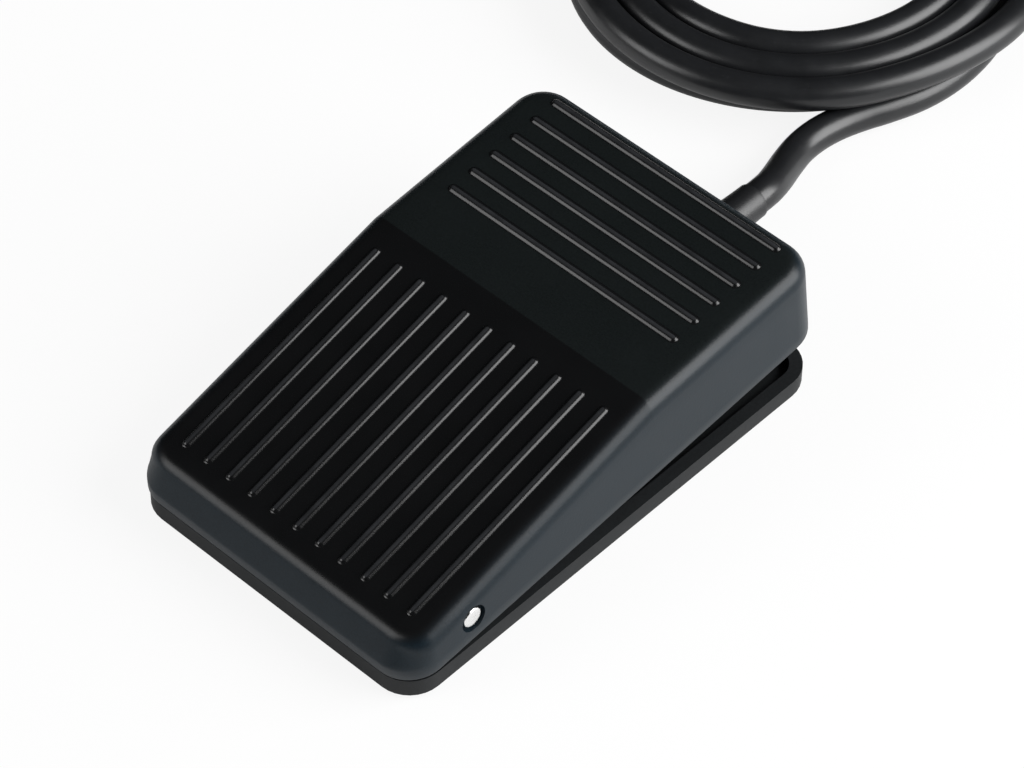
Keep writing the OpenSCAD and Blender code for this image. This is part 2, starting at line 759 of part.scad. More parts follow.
module switch_lever() {
    color([0.78, 0.78, 0.8]) lever_at_rest() difference() {
        union() {
            translate([-lever_w / 2, 0, -lever_t / 2])
                cube([lever_w, lever_reach + lever_tip, lever_t]);
            bar_x(-lever_w / 2, lever_w / 2, lever_pin_d / 2 + lever_t);
        }
        bar_x(-lever_w, lever_w, lever_pin_d / 2 + lever_play);
    }
}

module lever_pin() {
    half = lever_w / 2 + slack + ear_t;
    color([0.8, 0.8, 0.8]) translate([0, pivot_y, pivot_z]) bar_x(-half, half, lever_pin_d / 2);
}

// Flat tab with a hole, pointing along +Y from the origin
module solder_tab(inside) {
    difference() {
        union() {
            translate([-tab_w / 2, -inside, -tab_t / 2]) cube([tab_w, tab_l + inside - tab_w / 2, tab_t]);
            translate([0, tab_l - tab_w / 2, -tab_t / 2]) cylinder(d = tab_w, h = tab_t);
        }
        translate([0, tab_l - tab_w / 2, -tab_t]) cylinder(d = tab_hole, h = 2 * tab_t);
    }
}

module terminal_com() {
    inside = blade_in + com_post_t / 2 + 1.4;
    color([0.85, 0.7, 0.35]) {
        translate([0, case_front, case_z + com_h]) rotate([0, 0, 180]) solder_tab(inside);
        translate([-tab_w / 2, case_front + blade_in - com_post_t / 2, case_z + com_h])
            cube([tab_w, com_post_t, blade_h - com_h - blade_t / 2 - blade_play]);
    }
}

module terminal_no() {
    inside = case_l - blade_in - blade_l + contact_d;
    color([0.85, 0.7, 0.35]) translate([0, case_front + case_l, case_z + no_h]) {
        solder_tab(inside);
        translate([0, contact_y - case_front - case_l, tab_t / 2])
            cylinder(d = contact_d, h = contact_t);
    }
}

module terminal_nc() {
    inside = case_l - blade_in - blade_l + contact_d;
    color([0.85, 0.7, 0.35]) translate([0, case_front + case_l, case_z + nc_h]) {
        solder_tab(inside);
        translate([0, contact_y - case_front - case_l, -tab_t / 2 - contact_t])
            cylinder(d = contact_d, h = contact_t);
    }
}

module contact_blade() {
    color([0.85, 0.55, 0.3]) difference() {
        union() {
            translate([-blade_w / 2, case_front + blade_in - com_post_t / 2,
                       case_z + blade_h - blade_t / 2])
                cube([blade_w, blade_l + com_post_t / 2, blade_t]);
            translate([0, contact_y, case_z + blade_h - blade_t / 2 - contact_t])
                cylinder(d = contact_d, h = 2 * contact_t + blade_t);
        }
        translate([-blade_slot_w / 2, case_front + blade_in + blade_slot_in, case_z])
            cube([blade_slot_w, blade_slot_l, case_h]);
    }
}

// Pan-head screw along +Z, its shank l long above z = 0 and its cross-slotted head below
module pan_screw(l) {
    r = screw_d / 2;
    difference() {
        rotate_extrude()
            polygon([[0, -head_t], [head_r - head_edge, -head_t], [head_r, head_edge - head_t],
                     [head_r, 0], [r, 0], [r, l - tip_edge], [r - tip_edge, l], [0, l]]);
        for (a = [0, 90]) rotate([0, 0, a]) translate([-screw_d / 2, -slot_w / 2, -head_t - over])
            cube([screw_d, slot_w, over + head_t / 2]);
    }
}

module switch_screws() {
    color([0.75, 0.75, 0.77]) at_screws() translate([-case_half, 0, 0]) rotate([0, 90, 0])
        pan_screw(case_w + plate_t + nut_t - nut_sink + 1);
}

module switch_nuts() {
    color([0.75, 0.75, 0.77]) at_screws() translate([plate_x + plate_t - nut_sink, 0, 0]) difference() {
        bar_x(0, nut_t, nut_af / sqrt(3), $fn = 6);
        bar_x(-over, nut_t + over, screw_d / 2);
    }
}

module cable_clamp() {
    color([0.12, 0.12, 0.125]) translate([0, clamp_y, gland_z]) difference() {
        union() {
            translate([-clamp_half, -clamp_w / 2, slack]) cube([2 * clamp_half, clamp_w, clamp_t]);
            bar_y(-clamp_w / 2, clamp_w / 2, cord_r + clamp_hoop);
        }
        bar_y(-clamp_w, clamp_w, cord_r);
        translate([-clamp_half, -clamp_w, slack - clamp_half])
            cube([2 * clamp_half, 2 * clamp_w, clamp_half]);
        for (x = [-clamp_screw_x, clamp_screw_x]) translate([x, 0, -over])
            cylinder(d = screw_d + screw_play, h = clamp_t + 3 * over);
    }
}

module clamp_screws() {
    color([0.75, 0.75, 0.77]) for (x = [-clamp_screw_x, clamp_screw_x])
        translate([x, clamp_y, gland_z + slack + clamp_t]) mirror([0, 0, 1]) pan_screw(clamp_screw_l);
}

// Sleeve with a flange inside the tower and a grooved taper outside it
module strain_relief() {
    pitch = (relief_l - relief_collar - slack) / relief_rings;
    color([0.1, 0.1, 0.1]) translate([0, 0, gland_z]) difference() {
        union() {
            bar_y(tower_in - flange_t, tower_in, flange_r);
            bar_y(tower_in - over, tower_out + over, neck_r);
            translate([0, tower_out, 0]) rotate([-90, 0, 0])
                rotate_extrude() polygon([[0, 0], [flange_r - base_edge, 0], [flange_r, base_edge],
                                          [flange_r, relief_collar],
                                          [relief_end_r, relief_l], [0, relief_l]]);
        }
        bar_y(tower_in - 2 * flange_t, relief_end + over, cord_r);
        for (i = [0:relief_rings - 1], side = [0, 1]) rotate([0, 90 * (i % 2) + 180 * side, 0])
            translate([-flange_r, tower_out + relief_collar + slack + i * pitch, cord_r + groove_floor])
                cube([2 * flange_r, pitch * groove_share, flange_r]);
    }
}

module cord_sheath() {
    color([0.07, 0.07, 0.075]) translate([0, 0, gland_z]) bar_y(sheath_end, relief_end, cord_r);
}

module core_brown() { color(brown) tube_along(smooth(core_com, 4), core_r, core_sides); }

module core_blue() { color(blue) tube_along(smooth(core_no, 4), core_r, core_sides); }

module core_black() { color(black) tube_along(smooth(core_nc, 4), core_r, core_sides); }

// Drops of solder that hold the cores' bared ends on the tabs
module solder_joints() {
    spot = tab_l - tab_w / 2;
    color([0.8, 0.8, 0.78]) {
        translate([0, case_front + case_l + spot, case_z + no_h + tab_t / 2]) solder_drop();
        translate([0, case_front + case_l + spot, case_z + nc_h + tab_t / 2]) solder_drop();
        translate([0, case_front - spot, case_z + com_h + tab_t / 2]) solder_drop();
    }
}

module solder_drop() {
    rotate_extrude() polygon([[0, 0], [drop_r, 0], [drop_r * 0.7, drop_h * 0.6], [0, drop_h]]);
}

module cord_lead() {
    color([0.07, 0.07, 0.075]) tube_along(smooth(lead_route, 3), cord_r, 8);
}

module cord_coil() {
    color([0.07, 0.07, 0.075]) translate([coil_x, coil_y, 0]) difference() {
        rotate_extrude($fn = 72) translate([coil_in, 0]) square([coil_out - coil_in, coil_h]);
        rotate([0, 0, tie_angle]) translate([coil_mid_r, 0, 0])
            cube([2 * (coil_out - coil_in), tie_w, 2 * tie_t], center = true);
    }
}

module coil_tie() {
    half = (coil_out - coil_in) / 2 + tie_play;
    color([0.1, 0.1, 0.1]) translate([coil_x, coil_y, 0]) rotate([0, 0, tie_angle])
        translate([coil_mid_r, tie_w / 2, 0]) rotate([90, 0, 0]) linear_extrude(tie_w) difference() {
            translate([-half - tie_t, 0]) square([2 * (half + tie_t), coil_h + tie_t + tie_play / 2]);
            translate([-half, tie_t]) square([2 * half, coil_h - tie_t + tie_play / 2]);
        }
}

module cord_tail() {
    color([0.07, 0.07, 0.075]) tube_along(tail_path, cord_r, 8);
}

// Three bare cores fan out of the tail, one colour each
module tail_cores() {
    for (i = [0:2]) color([black, brown, blue][i])
        tube_along(tail_core_path(i, -core_root, core_tail), core_r, core_sides);
}

module tail_strands() {
    color([0.8, 0.5, 0.3]) for (i = [0:2])
        tube_along(tail_core_path(i, core_tail - strand_root, core_tail + strand_l), strand_d / 2,
                   strand_sides);
}

base_tray();
rubber_feet();
hinge_pin();
pedal();
return_springs();
switch_case();
switch_cover();
switch_plunger();
switch_lever();
lever_pin();
terminal_com();
terminal_no();
terminal_nc();
contact_blade();
switch_screws();
switch_nuts();
cable_clamp();
clamp_screws();
strain_relief();
cord_sheath();
core_brown();
core_blue();
core_black();
solder_joints();
cord_lead();
cord_coil();
coil_tie();
cord_tail();
tail_cores();
tail_strands();
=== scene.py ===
import json
import math

import bmesh
import bpy
import numpy as np
from bpy.props import FloatProperty, FloatVectorProperty, IntProperty, PointerProperty
from mathutils import Matrix, Vector

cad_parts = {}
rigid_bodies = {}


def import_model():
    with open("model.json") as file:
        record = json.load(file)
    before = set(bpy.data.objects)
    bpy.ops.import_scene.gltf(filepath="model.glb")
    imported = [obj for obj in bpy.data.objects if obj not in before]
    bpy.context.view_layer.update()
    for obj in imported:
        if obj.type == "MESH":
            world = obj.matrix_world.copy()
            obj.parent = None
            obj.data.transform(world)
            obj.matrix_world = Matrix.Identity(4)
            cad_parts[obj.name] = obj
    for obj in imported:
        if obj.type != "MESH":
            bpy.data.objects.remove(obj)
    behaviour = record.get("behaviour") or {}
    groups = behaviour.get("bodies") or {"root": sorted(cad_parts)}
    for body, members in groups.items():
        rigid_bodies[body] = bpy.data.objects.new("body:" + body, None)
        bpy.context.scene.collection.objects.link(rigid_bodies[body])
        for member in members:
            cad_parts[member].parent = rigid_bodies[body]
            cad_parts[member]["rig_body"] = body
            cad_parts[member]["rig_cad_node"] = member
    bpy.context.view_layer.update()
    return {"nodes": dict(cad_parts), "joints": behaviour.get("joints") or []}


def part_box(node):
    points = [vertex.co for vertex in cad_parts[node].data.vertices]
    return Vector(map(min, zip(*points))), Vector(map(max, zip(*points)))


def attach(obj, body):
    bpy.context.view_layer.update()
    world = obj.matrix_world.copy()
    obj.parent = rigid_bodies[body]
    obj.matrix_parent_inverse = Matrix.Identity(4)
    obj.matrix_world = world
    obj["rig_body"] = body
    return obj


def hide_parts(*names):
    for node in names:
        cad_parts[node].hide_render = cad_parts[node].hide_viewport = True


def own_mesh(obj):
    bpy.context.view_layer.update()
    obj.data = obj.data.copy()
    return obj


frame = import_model()

bl_info = {
    "name": "Foot Switch",
    "version": (1, 0, 0),
    "blender": (4, 5, 0),
    "location": "3D View > Sidebar > Foot Switch",
    "description": "Builds the looks of a pedal foot switch around its packed frame",
    "category": "Add Mesh",
}

NODES = frame["nodes"]


def joint(name):
    """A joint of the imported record."""
    return next(j for j in frame["joints"] if j["name"] == name)


HINGE = joint("pedal_hinge")
PIN_LOW, PIN_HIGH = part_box("hinge_pin")
PIN_AXIS = (PIN_LOW + PIN_HIGH) / 2
BASE_LOW, BASE_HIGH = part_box("base_tray")
FEET_LOW, FEET_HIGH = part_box("rubber_feet")


# ---------------------------------------------------------------- settings

def distance(name, description, default, low=0.0, high=1.0):
    """A length in metres that the sidebar shows in the scene's own units."""
    return FloatProperty(name=name, description=description, default=default, min=low, max=high,
                         unit="LENGTH", subtype="DISTANCE", precision=5)


def turn(name, description, degrees):
    """An angle that the sidebar shows in degrees."""
    return FloatProperty(name=name, description=description, default=math.radians(degrees),
                         unit="ROTATION", subtype="ANGLE")


def share(name, description, default, high=1.0):
    """A number from 0 up, such as a roughness or a strength."""
    return FloatProperty(name=name, description=description, default=default, min=0.0, max=high)


def shade(name, description, colour):
    """A colour of a finish, as linear red, green and blue."""
    return FloatVectorProperty(name=name, description=description, default=colour, size=3,
                               min=0.0, max=1.0, subtype="COLOR")


class PedalSizes(bpy.types.PropertyGroup):
    """Sizes of the pedal shell as it stands fully down."""
    length: distance("Length", "Length of the pedal shell", 0.1027)
    width: distance("Width", "Width of the pedal shell", 0.066)
    front: distance("Front", "Where the toe face stands along Y", -0.0516, -1.0)
    corner: distance("Corner radius", "Radius of the corners seen from above", 0.007)
    wall: distance("Wall", "Thickness of the shell", 0.002)
    edge: distance("Edge radius", "Radius of the edge round the tread", 0.0034)
    heel_height: distance("Heel height", "Height of the heel panel, fully down", 0.0244)
    toe_height: distance("Toe height", "Height of the tread at the toe edge, fully down", 0.0138)
    crease: distance("Crease", "Distance of the crease from the toe edge", 0.0599)
    lean: distance("Lean", "How far side and rear walls lean in", 0.0005)
    toe_lean: distance("Toe lean", "How far the toe face leans back above its bend", 0.0013)
    toe_bend: distance("Toe bend", "Height of the bend in the toe face above the skirt", 0.0027)
    skirt: distance("Skirt height", "Height of the skirt above the floor, fully down", 0.00645)
    rest_angle: turn("Rest angle", "How far the springs lift the pedal", 5.2)


class TreadSizes(bpy.types.PropertyGroup):
    """Sizes of the ribs on the tread."""
    toe_ribs: IntProperty(name="Toe ribs", description="Number of lengthwise ribs", default=11, min=1)
    toe_pitch: distance("Toe pitch", "Spacing of the lengthwise ribs", 0.00525)
    toe_start: distance("Toe start", "Distance of the ribs from the toe edge, along the slope", 0.0075)
    toe_end: distance("Toe end", "Where the ribs end, along the slope", 0.056)
    heel_ribs: IntProperty(name="Heel ribs", description="Number of crosswise ribs", default=6, min=1)
    heel_pitch: distance("Heel pitch", "Spacing of the crosswise ribs", 0.0052)
    heel_length: distance("Heel rib length", "Length of a crosswise rib", 0.0524)
    heel_rear: distance("Heel margin", "Distance of the last rib from the rear edge", 0.004)
    width: distance("Rib width", "Width of a rib at the tread", 0.0017)
    height: distance("Rib height", "Height of a rib", 0.0005)


class LeadSizes(bpy.types.PropertyGroup):
    """Sizes of the lead, its coil and its bared end."""
    diameter: distance("Diameter", "Diameter of the lead", 0.0062)
    core: distance("Core", "Diameter of an insulated core", 0.0023)
    strand: distance("Strand", "Diameter of a core's copper", 0.0011)
    gland_height: distance("Gland height", "Height of the lead's axis in the gland", 0.0072)
    sleeve: distance("Sleeve", "Length of the strain relief outside the base", 0.02)
    coil_x: distance("Coil X", "Middle of the coil", -0.0378, -1.0)
    coil_y: distance("Coil Y", "Middle of the coil", 0.12525)
    coil_radius: distance("Coil radius", "Radius at the middle of the coil's turns", 0.0342)
    core_tail: distance("Bared cores", "Length of the cores past the end of the jacket", 0.014)
    strand_tail: distance("Bared copper", "Length of the copper past the end of a core", 0.007)
    fan: distance("Fan", "Spacing of the cores' ends", 0.0042)


class Finishes(bpy.types.PropertyGroup):
    """Colours of the materials."""
    pedal: shade("Pedal", "Grained sides of the pedal", (0.0045, 0.0090, 0.0130))
    tread: shade("Tread", "Polished slope of the tread", (0.0042, 0.0044, 0.0048))
    heel: shade("Heel", "Panel of the tread behind the crease", (0.0066, 0.0084, 0.0086))
    base: shade("Base", "Moulded plastic of the base", (0.0090, 0.0100, 0.0108))
    rubber: shade("Feet", "Rubber of the feet", (0.012, 0.012, 0.012))
    steel: shade("Steel", "Turned steel of the pin", (0.97, 0.97, 0.96))
    spring: shade("Spring steel", "Drawn wire of the springs", (0.46, 0.46, 0.47))
    zinc: shade("Zinc", "Plated screws and nuts", (0.58, 0.59, 0.60))
    brass: shade("Brass", "Terminals", (0.74, 0.56, 0.26))
    bronze: shade("Bronze", "Contact blade", (0.66, 0.40, 0.20))
    case: shade("Case", "Moulded case of the snap switch", (0.016, 0.016, 0.017))
    cover: shade("Cover", "Cover of the snap switch", (0.05, 0.05, 0.055))
    plunger: shade("Plunger", "Plunger of the snap switch", (0.42, 0.04, 0.02))
    jacket: shade("Jacket", "Outer jacket of the lead", (0.0085, 0.0090, 0.0100))
    brown: shade("Brown core", "Insulation of the brown core", (0.105, 0.030, 0.010))
    blue: shade("Blue core", "Insulation of the blue core", (0.012, 0.060, 0.320))
    black: shade("Black core", "Insulation of the black core", (0.012, 0.012, 0.012))
    copper: shade("Copper", "Strands of the cores", (0.80, 0.38, 0.20))
    solder: shade("Solder", "Drops that hold the cores on the tabs", (0.66, 0.66, 0.64))
    floor: shade("Floor", "Floor of the studio", (0.80, 0.80, 0.80))


class Studio(bpy.types.PropertyGroup):
    """Place of the camera and strength of the lights."""
    azimuth: turn("Azimuth", "Direction of the camera, from straight in front", 42.589)
    elevation: turn("Elevation", "Height of the camera above the horizon", 47.734)
    roll: turn("Roll", "Turn of the camera about its own axis", 0.922)
    distance: distance("Distance", "From the camera to what it aims at", 0.757245, 0.1, 10.0)
    lens: FloatProperty(name="Lens", description="Focal length on a 36 mm sensor, in millimetres",
                        default=153.104, min=1.0, subtype="DISTANCE_CAMERA")
    aim: FloatVectorProperty(name="Aim", description="Point that the camera aims at",
                             default=(-0.0046375, 0.0128, 0.0008), size=3, unit="LENGTH",
                             subtype="TRANSLATION")
    key: share("Key light", "Power of the soft box on the right, in watts", 15.0, 1000.0)
    fill: share("Fill light", "Power of the soft box in front, in watts", 3.6, 1000.0)
    sky: share("Surroundings", "Strength of the light from all round", 0.26, 10.0)


SETTINGS = {"pedal": PedalSizes, "tread": TreadSizes, "lead": LeadSizes, "finish": Finishes,
            "studio": Studio}


class FootSwitchSettings(bpy.types.PropertyGroup):
    """Everything that a user may change before the pieces are made."""
    pedal: PointerProperty(type=PedalSizes, name="Pedal", description="Sizes of the pedal")
    tread: PointerProperty(type=TreadSizes, name="Tread", description="Sizes of the ribs")
    lead: PointerProperty(type=LeadSizes, name="Lead", description="Sizes of the lead")
    finish: PointerProperty(type=Finishes, name="Finishes", description="Colours of the materials")
    studio: PointerProperty(type=Studio, name="Studio", description="Camera and lights")


def settings():
    """The settings of the scene in hand."""
    return bpy.context.scene.foot_switch


# ---------------------------------------------------------------- surfaces

class Shell:
    """A surface as whole arrays: points (n, 3) in metres, four-sided and three-sided faces, and
    marks, numbers or vectors that the points carry for the finish."""

    def __init__(self, points, quads=None, tris=None, marks=None):
        self.points = np.asarray(points, float).reshape(-1, 3)
        self.quads = np.zeros((0, 4), int) if quads is None else np.asarray(quads, int)
        self.tris = np.zeros((0, 3), int) if tris is None else np.asarray(tris, int)
        self.marks = marks or {}

    def outward(self):
        """The same surface with its faces turned outwards: the signed volume, a sixth of the sum
        of a . (b x c) over its triangles, is made positive."""
        q, p = self.quads, self.points
        t = np.vstack([self.tris, q[:, [0, 1, 2]], q[:, [0, 2, 3]]])
        if np.einsum("ij,ij->", p[t[:, 0]], np.cross(p[t[:, 1]], p[t[:, 2]])) < 0:
            self.quads, self.tris = q[:, ::-1], self.tris[:, ::-1]
        return self


def together(shells):
    """Several shells as one, their faces renumbered."""
    starts = np.cumsum([0] + [len(s.points) for s in shells[:-1]])
    return Shell(np.vstack([s.points for s in shells]),
                 np.vstack([s.quads + n for s, n in zip(shells, starts)]),
                 np.vstack([s.tris + n for s, n in zip(shells, starts)]),
                 {k: np.concatenate([s.marks[k] for s in shells]) for k in shells[0].marks})


def lattice(rows, columns, wrap_rows=False, wrap_columns=False):
    """Four-sided faces between neighbours of a grid: point (i, j) has number i * columns + j."""
    i = np.arange(rows if wrap_rows else rows - 1)[:, None]
    j = np.arange(columns if wrap_columns else columns - 1)[None, :]
    i2, j2 = (i + 1) % rows, (j + 1) % columns
    return np.stack([i * columns + j, i * columns + j2, i2 * columns + j2, i2 * columns + j],
                    -1).reshape(-1, 4)


def skin(rings, closed=False, marks=None):
    """A closed surface over rings (r, n, 3). Its two ends are closed by fans round the mean of the
    end ring, or its last ring meets its first."""
    r, n = rings.shape[:2]
    quads = lattice(r, n, closed, True)
    points = rings.reshape(-1, 3)
    if closed:
        return Shell(points, quads, marks={k: v.reshape(r * n, -1) for k, v in (marks or {}).items()}
                     ).outward()
    k = np.arange(n)
    ends = np.stack([rings[0].mean(0), rings[-1].mean(0)])
    last = (r - 1) * n
    tris = np.vstack([np.stack([(k + 1) % n, k, np.full(n, r * n)], -1),
                      np.stack([last + k, last + (k + 1) % n, np.full(n, r * n + 1)], -1)])
    full = {k: np.vstack([v.reshape(r * n, -1), v[0].reshape(n, -1).mean(0),
                          v[-1].reshape(n, -1).mean(0)]) for k, v in (marks or {}).items()}
    return Shell(np.vstack([points, ends]), quads, tris, full).outward()


def circle_points(n):
    """Cosines and sines of n equal steps of a turn, from its lowest point on."""
    a = 2 * np.pi * np.arange(n) / n - np.pi / 2
    return np.cos(a), np.sin(a)


def frame_of(path, across):
    """Unit vectors along a path, and two square to it: side = along x across, up = side x along."""
    along = np.gradient(path, axis=0)
    along /= np.linalg.norm(along, axis=1)[:, None]
    side = np.cross(along, np.asarray(across, float))
    side /= np.linalg.norm(side, axis=1)[:, None]
    return along, side, np.cross(side, along)


def lengths_along(path):
    """Distance of each point of a path from its start."""
    return np.concatenate([[0], np.cumsum(np.linalg.norm(np.diff(path, axis=0), axis=1))])


def tube(path, radius, n=16, across=(0, 0, 1), rounded=0.0):
    """A round tube: ring i is path[i] + radius (cos a side + sin a up). A rounded end closes in
    over that length as a quarter circle. The second array keeps r cos a, r sin a and the length."""
    s = lengths_along(path)
    r = np.broadcast_to(np.asarray(radius, float), s.shape).copy()
    if rounded:
        near = np.minimum(s, s[-1] - s)
        fall = np.clip(1 - near / rounded, 0, 1)
        r -= rounded * (1 - np.sqrt(1 - fall ** 2))
    _, side, up = frame_of(path, across)
    c, z = circle_points(n)
    flat = r[:, None, None] * c[:, None]
    high = r[:, None, None] * z[:, None]
    rings = path[:, None] + flat * side[:, None] + high * up[:, None]
    pulled = np.concatenate([flat, high, np.broadcast_to(s[:, None, None], flat.shape)], -1)
    return skin(rings, marks={"straight": pulled})


def turned(profile, start, axis="y", n=48):
    """A turned form: the profile's (radius, height) carried once round the axis through start."""
    profile = np.asarray(profile, float)
    c, s = circle_points(n)
    r, h = profile[:, :1], np.broadcast_to(profile[:, 1:], (len(profile), n))
    flat = {"x": (h, r * c, r * s), "y": (r * c, h, r * s), "z": (r * c, r * s, h)}[axis]
    return np.stack(flat, -1) + np.asarray(start, float)


def arc(centre, radius, start, end, steps):
    """Points of an arc in a plane, from one angle to another in degrees."""
    a = np.radians(np.linspace(start, end, steps))
    return np.stack([centre[0] + radius * np.cos(a), centre[1] + radius * np.sin(a)], -1)


def through(points, steps):
    """A smooth curve through points. Between b and c, with a before and d after them, it is
    (2b + (c-a)t + (2a-5b+4c-d)t2 + (3b-a-3c+d)t3) / 2."""
    p = np.asarray(points, float)
    full = np.vstack([p[:1], p, p[-1:]])
    a, b, c, d = (full[k:len(full) - 3 + k, None] for k in range(4))
    t = (np.arange(steps) / steps)[None, :, None]
    curve = 0.5 * (2 * b + (c - a) * t + (2 * a - 5 * b + 4 * c - d) * t ** 2
                   + (3 * b - a - 3 * c + d) * t ** 3)
    return np.vstack([curve.reshape(-1, p.shape[1]), p[-1:]])


def evenly(path, step):
    """The same path with points one step apart."""
    s = lengths_along(path)
    at = np.linspace(0, s[-1], max(int(round(s[-1] / step)), 2) + 1)
    return np.stack([np.interp(at, s, path[:, k]) for k in range(3)], -1)


def raised(points, angle=None):
    """Points of the pedal, drawn fully down, swung up to where the springs hold it: turned about
    the pin by the rest angle."""
    a = settings().pedal.rest_angle if angle is None else angle
    y, z = points[..., 1] - PIN_AXIS.y, points[..., 2] - PIN_AXIS.z
    return np.stack([points[..., 0], PIN_AXIS.y + y * math.cos(a) - z * math.sin(a),
                     PIN_AXIS.z + y * math.sin(a) + z * math.cos(a)], -1)


def put_mark(mesh, name, values):
    """Gives a mesh's points numbers, or vectors, that a finish reads."""
    vector = values.size == 3 * len(mesh.vertices)
    mark = mesh.attributes.new(name, "FLOAT_VECTOR" if vector else "FLOAT", "POINT")
    mark.data.foreach_set("vector" if vector else "value", values.astype(np.float32).ravel())


def to_mesh(name, shell):
    """A mesh of a shell, its doubles merged."""
    mesh = bpy.data.meshes.new(name)
    sizes = np.concatenate([np.full(len(shell.quads), 4), np.full(len(shell.tris), 3)])
    corners = np.concatenate([shell.quads.ravel(), shell.tris.ravel()])
    mesh.vertices.add(len(shell.points))
    mesh.vertices.foreach_set("co", shell.points.astype(np.float32).ravel())
    mesh.loops.add(len(corners))
    mesh.loops.foreach_set("vertex_index", corners.astype(np.int32))
    mesh.polygons.add(len(sizes))
    mesh.polygons.foreach_set("loop_start", np.concatenate([[0], np.cumsum(sizes)[:-1]]).astype(np.int32))
    for key, values in shell.marks.items():
        put_mark(mesh, key, values)
    mesh.update(calc_edges=True)
    mesh.validate()
    return mesh


MERGE = 1e-6


def tidy(mesh):
    """Merges a mesh's doubles."""
    work = bmesh.new()
    work.from_mesh(mesh)
    bmesh.ops.remove_doubles(work, verts=work.verts, dist=MERGE)
    bmesh.ops.dissolve_degenerate(work, dist=MERGE, edges=work.edges)
    work.to_mesh(mesh)
    work.free()


def soften(mesh, degrees):
    """Shades a mesh smooth but for edges that bend more than so many degrees."""
    mesh.polygons.foreach_set("use_smooth", np.ones(len(mesh.polygons), bool))
    mesh.set_sharp_from_angle(angle=math.radians(degrees))


def piece(name, shells, finish, body, stands_for=(), sharp=40.0, merge=True):
    """One object of the model, out of closed shells, riding on a body of the frame."""
    mesh = to_mesh(name, together(shells))
    if merge:
        tidy(mesh)
    soften(mesh, sharp)
    mesh.materials.append(finish)
    obj = bpy.data.objects.new(name, mesh)
    bpy.context.scene.collection.objects.link(obj)
    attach(obj, body)
    if stands_for:
        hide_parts(*stands_for)
    return obj


# ---------------------------------------------------------------- finishes

class Value:
    """A shader socket that adds, subtracts, multiplies, divides and raises like a number."""

    def __init__(self, recipe, socket):
        self.recipe, self.socket = recipe, socket

    def __add__(self, other):
        return self.recipe.maths("ADD", self, other)

    def __sub__(self, other):
        return self.recipe.maths("SUBTRACT", self, other)

    def __rsub__(self, other):
        return self.recipe.maths("SUBTRACT", other, self)

    def __mul__(self, other):
        return self.recipe.maths("MULTIPLY", self, other)

    def __truediv__(self, other):
        return self.recipe.maths("DIVIDE", self, other)

    def __rtruediv__(self, other):
        return self.recipe.maths("DIVIDE", other, self)

    def __pow__(self, other):
        return self.recipe.maths("POWER", self, other)

    __radd__ = __add__
    __rmul__ = __mul__


class Recipe:
    """The nodes of one finish, of the floor or of the surroundings."""

    def __init__(self, owner):
        owner.use_nodes = True
        self.tree = owner.node_tree
        self.tree.nodes.clear()

    def node(self, kind, chosen=None, sockets=None, out=0):
        """A node of a kind: its choices are set first, then the values or links of its sockets."""
        made = self.tree.nodes.new("ShaderNode" + kind)
        for name, value in (chosen or {}).items():
            if name == "stops":
                self.set_stops(made.color_ramp.elements, value)
            else:
                setattr(made, name, value)
        for name, value in (sockets or {}).items():
            if isinstance(value, Value):
                self.tree.links.new(value.socket, made.inputs[name])
            else:
                made.inputs[name].default_value = value
        return Value(self, made.outputs[out]) if len(made.outputs) else made

    @staticmethod
    def set_stops(elements, stops):
        """Sets the stops of a ramp from (place, brightness) pairs."""
        for i, (place, bright) in enumerate(stops):
            stop = elements[i] if i < len(elements) else elements.new(place)
            stop.position, stop.color = place, (bright, bright, bright, 1.0)

    def maths(self, operation, *values):
        return self.node("Math", {"operation": operation}, dict(enumerate(values)))

    def place(self, scale=(1, 1, 1), rotation=(0, 0, 0), shift=(0, 0, 0), attribute=None):
        """Where a point lies on its piece, or on the same cord pulled straight."""
        if attribute:
            source = self.node("Attribute", {"attribute_name": attribute}, out="Vector")
        else:
            source = self.node("TexCoord", out="Object")
        return self.node("Mapping", sockets={"Vector": source, "Scale": scale,
                                             "Rotation": rotation, "Location": shift})

    def noise(self, where, size, detail=2.0, roughness=0.5):
        """Soft noise from 0 to 1 whose lumps are about so many metres across."""
        return self.node("TexNoise", sockets={"Vector": where, "Scale": 1 / size, "Detail": detail,
                                              "Roughness": roughness})

    def specks(self, where, size):
        """Distance to the nearest of scattered points, 0 at the point."""
        return self.node("TexVoronoi", sockets={"Vector": where, "Scale": 1 / size})

    def span(self, value, low, high, to_low=0.0, to_high=1.0):
        """The value moved from one range to another, smoothly, and held inside it."""
        return self.node("MapRange", {"interpolation_type": "SMOOTHSTEP"},
                         {"Value": value, "From Min": low, "From Max": high,
                          "To Min": to_low, "To Max": to_high})

    def mark(self, name):
        """A number that the piece carries on its points."""
        return self.node("Attribute", {"attribute_name": name}, out="Fac")

    def mix(self, factor, first, second):
        """A colour between two colours."""
        return self.node("Mix", {"data_type": "RGBA"},
                         {0: factor, 6: colour4(first), 7: colour4(second)}, out=2)

    def bump(self, height, depth, below=None):
        """A normal bent by a height from 0 to 1 that is so many metres deep."""
        sockets = {"Height": height, "Distance": depth, "Strength": 1.0}
        if below is not None:
            sockets["Normal"] = below
        return self.node("Bump", sockets=sockets)

    def surface(self, sockets):
        """Ends the recipe in the standard surface."""
        made = self.node("BsdfPrincipled", sockets=sockets)
        self.node("OutputMaterial", sockets={"Surface": made})


def colour4(colour):
    """A colour with its opacity, if it isn't a socket."""
    return colour if isinstance(colour, Value) else (*colour[:3], 1.0)


def times(colour, factor):
    """A colour made darker or lighter."""
    return tuple(min(c * factor, 1.0) for c in colour)


def finish(name):
    """A new material and its empty recipe."""
    material = bpy.data.materials.new(name)
    return material, Recipe(material)


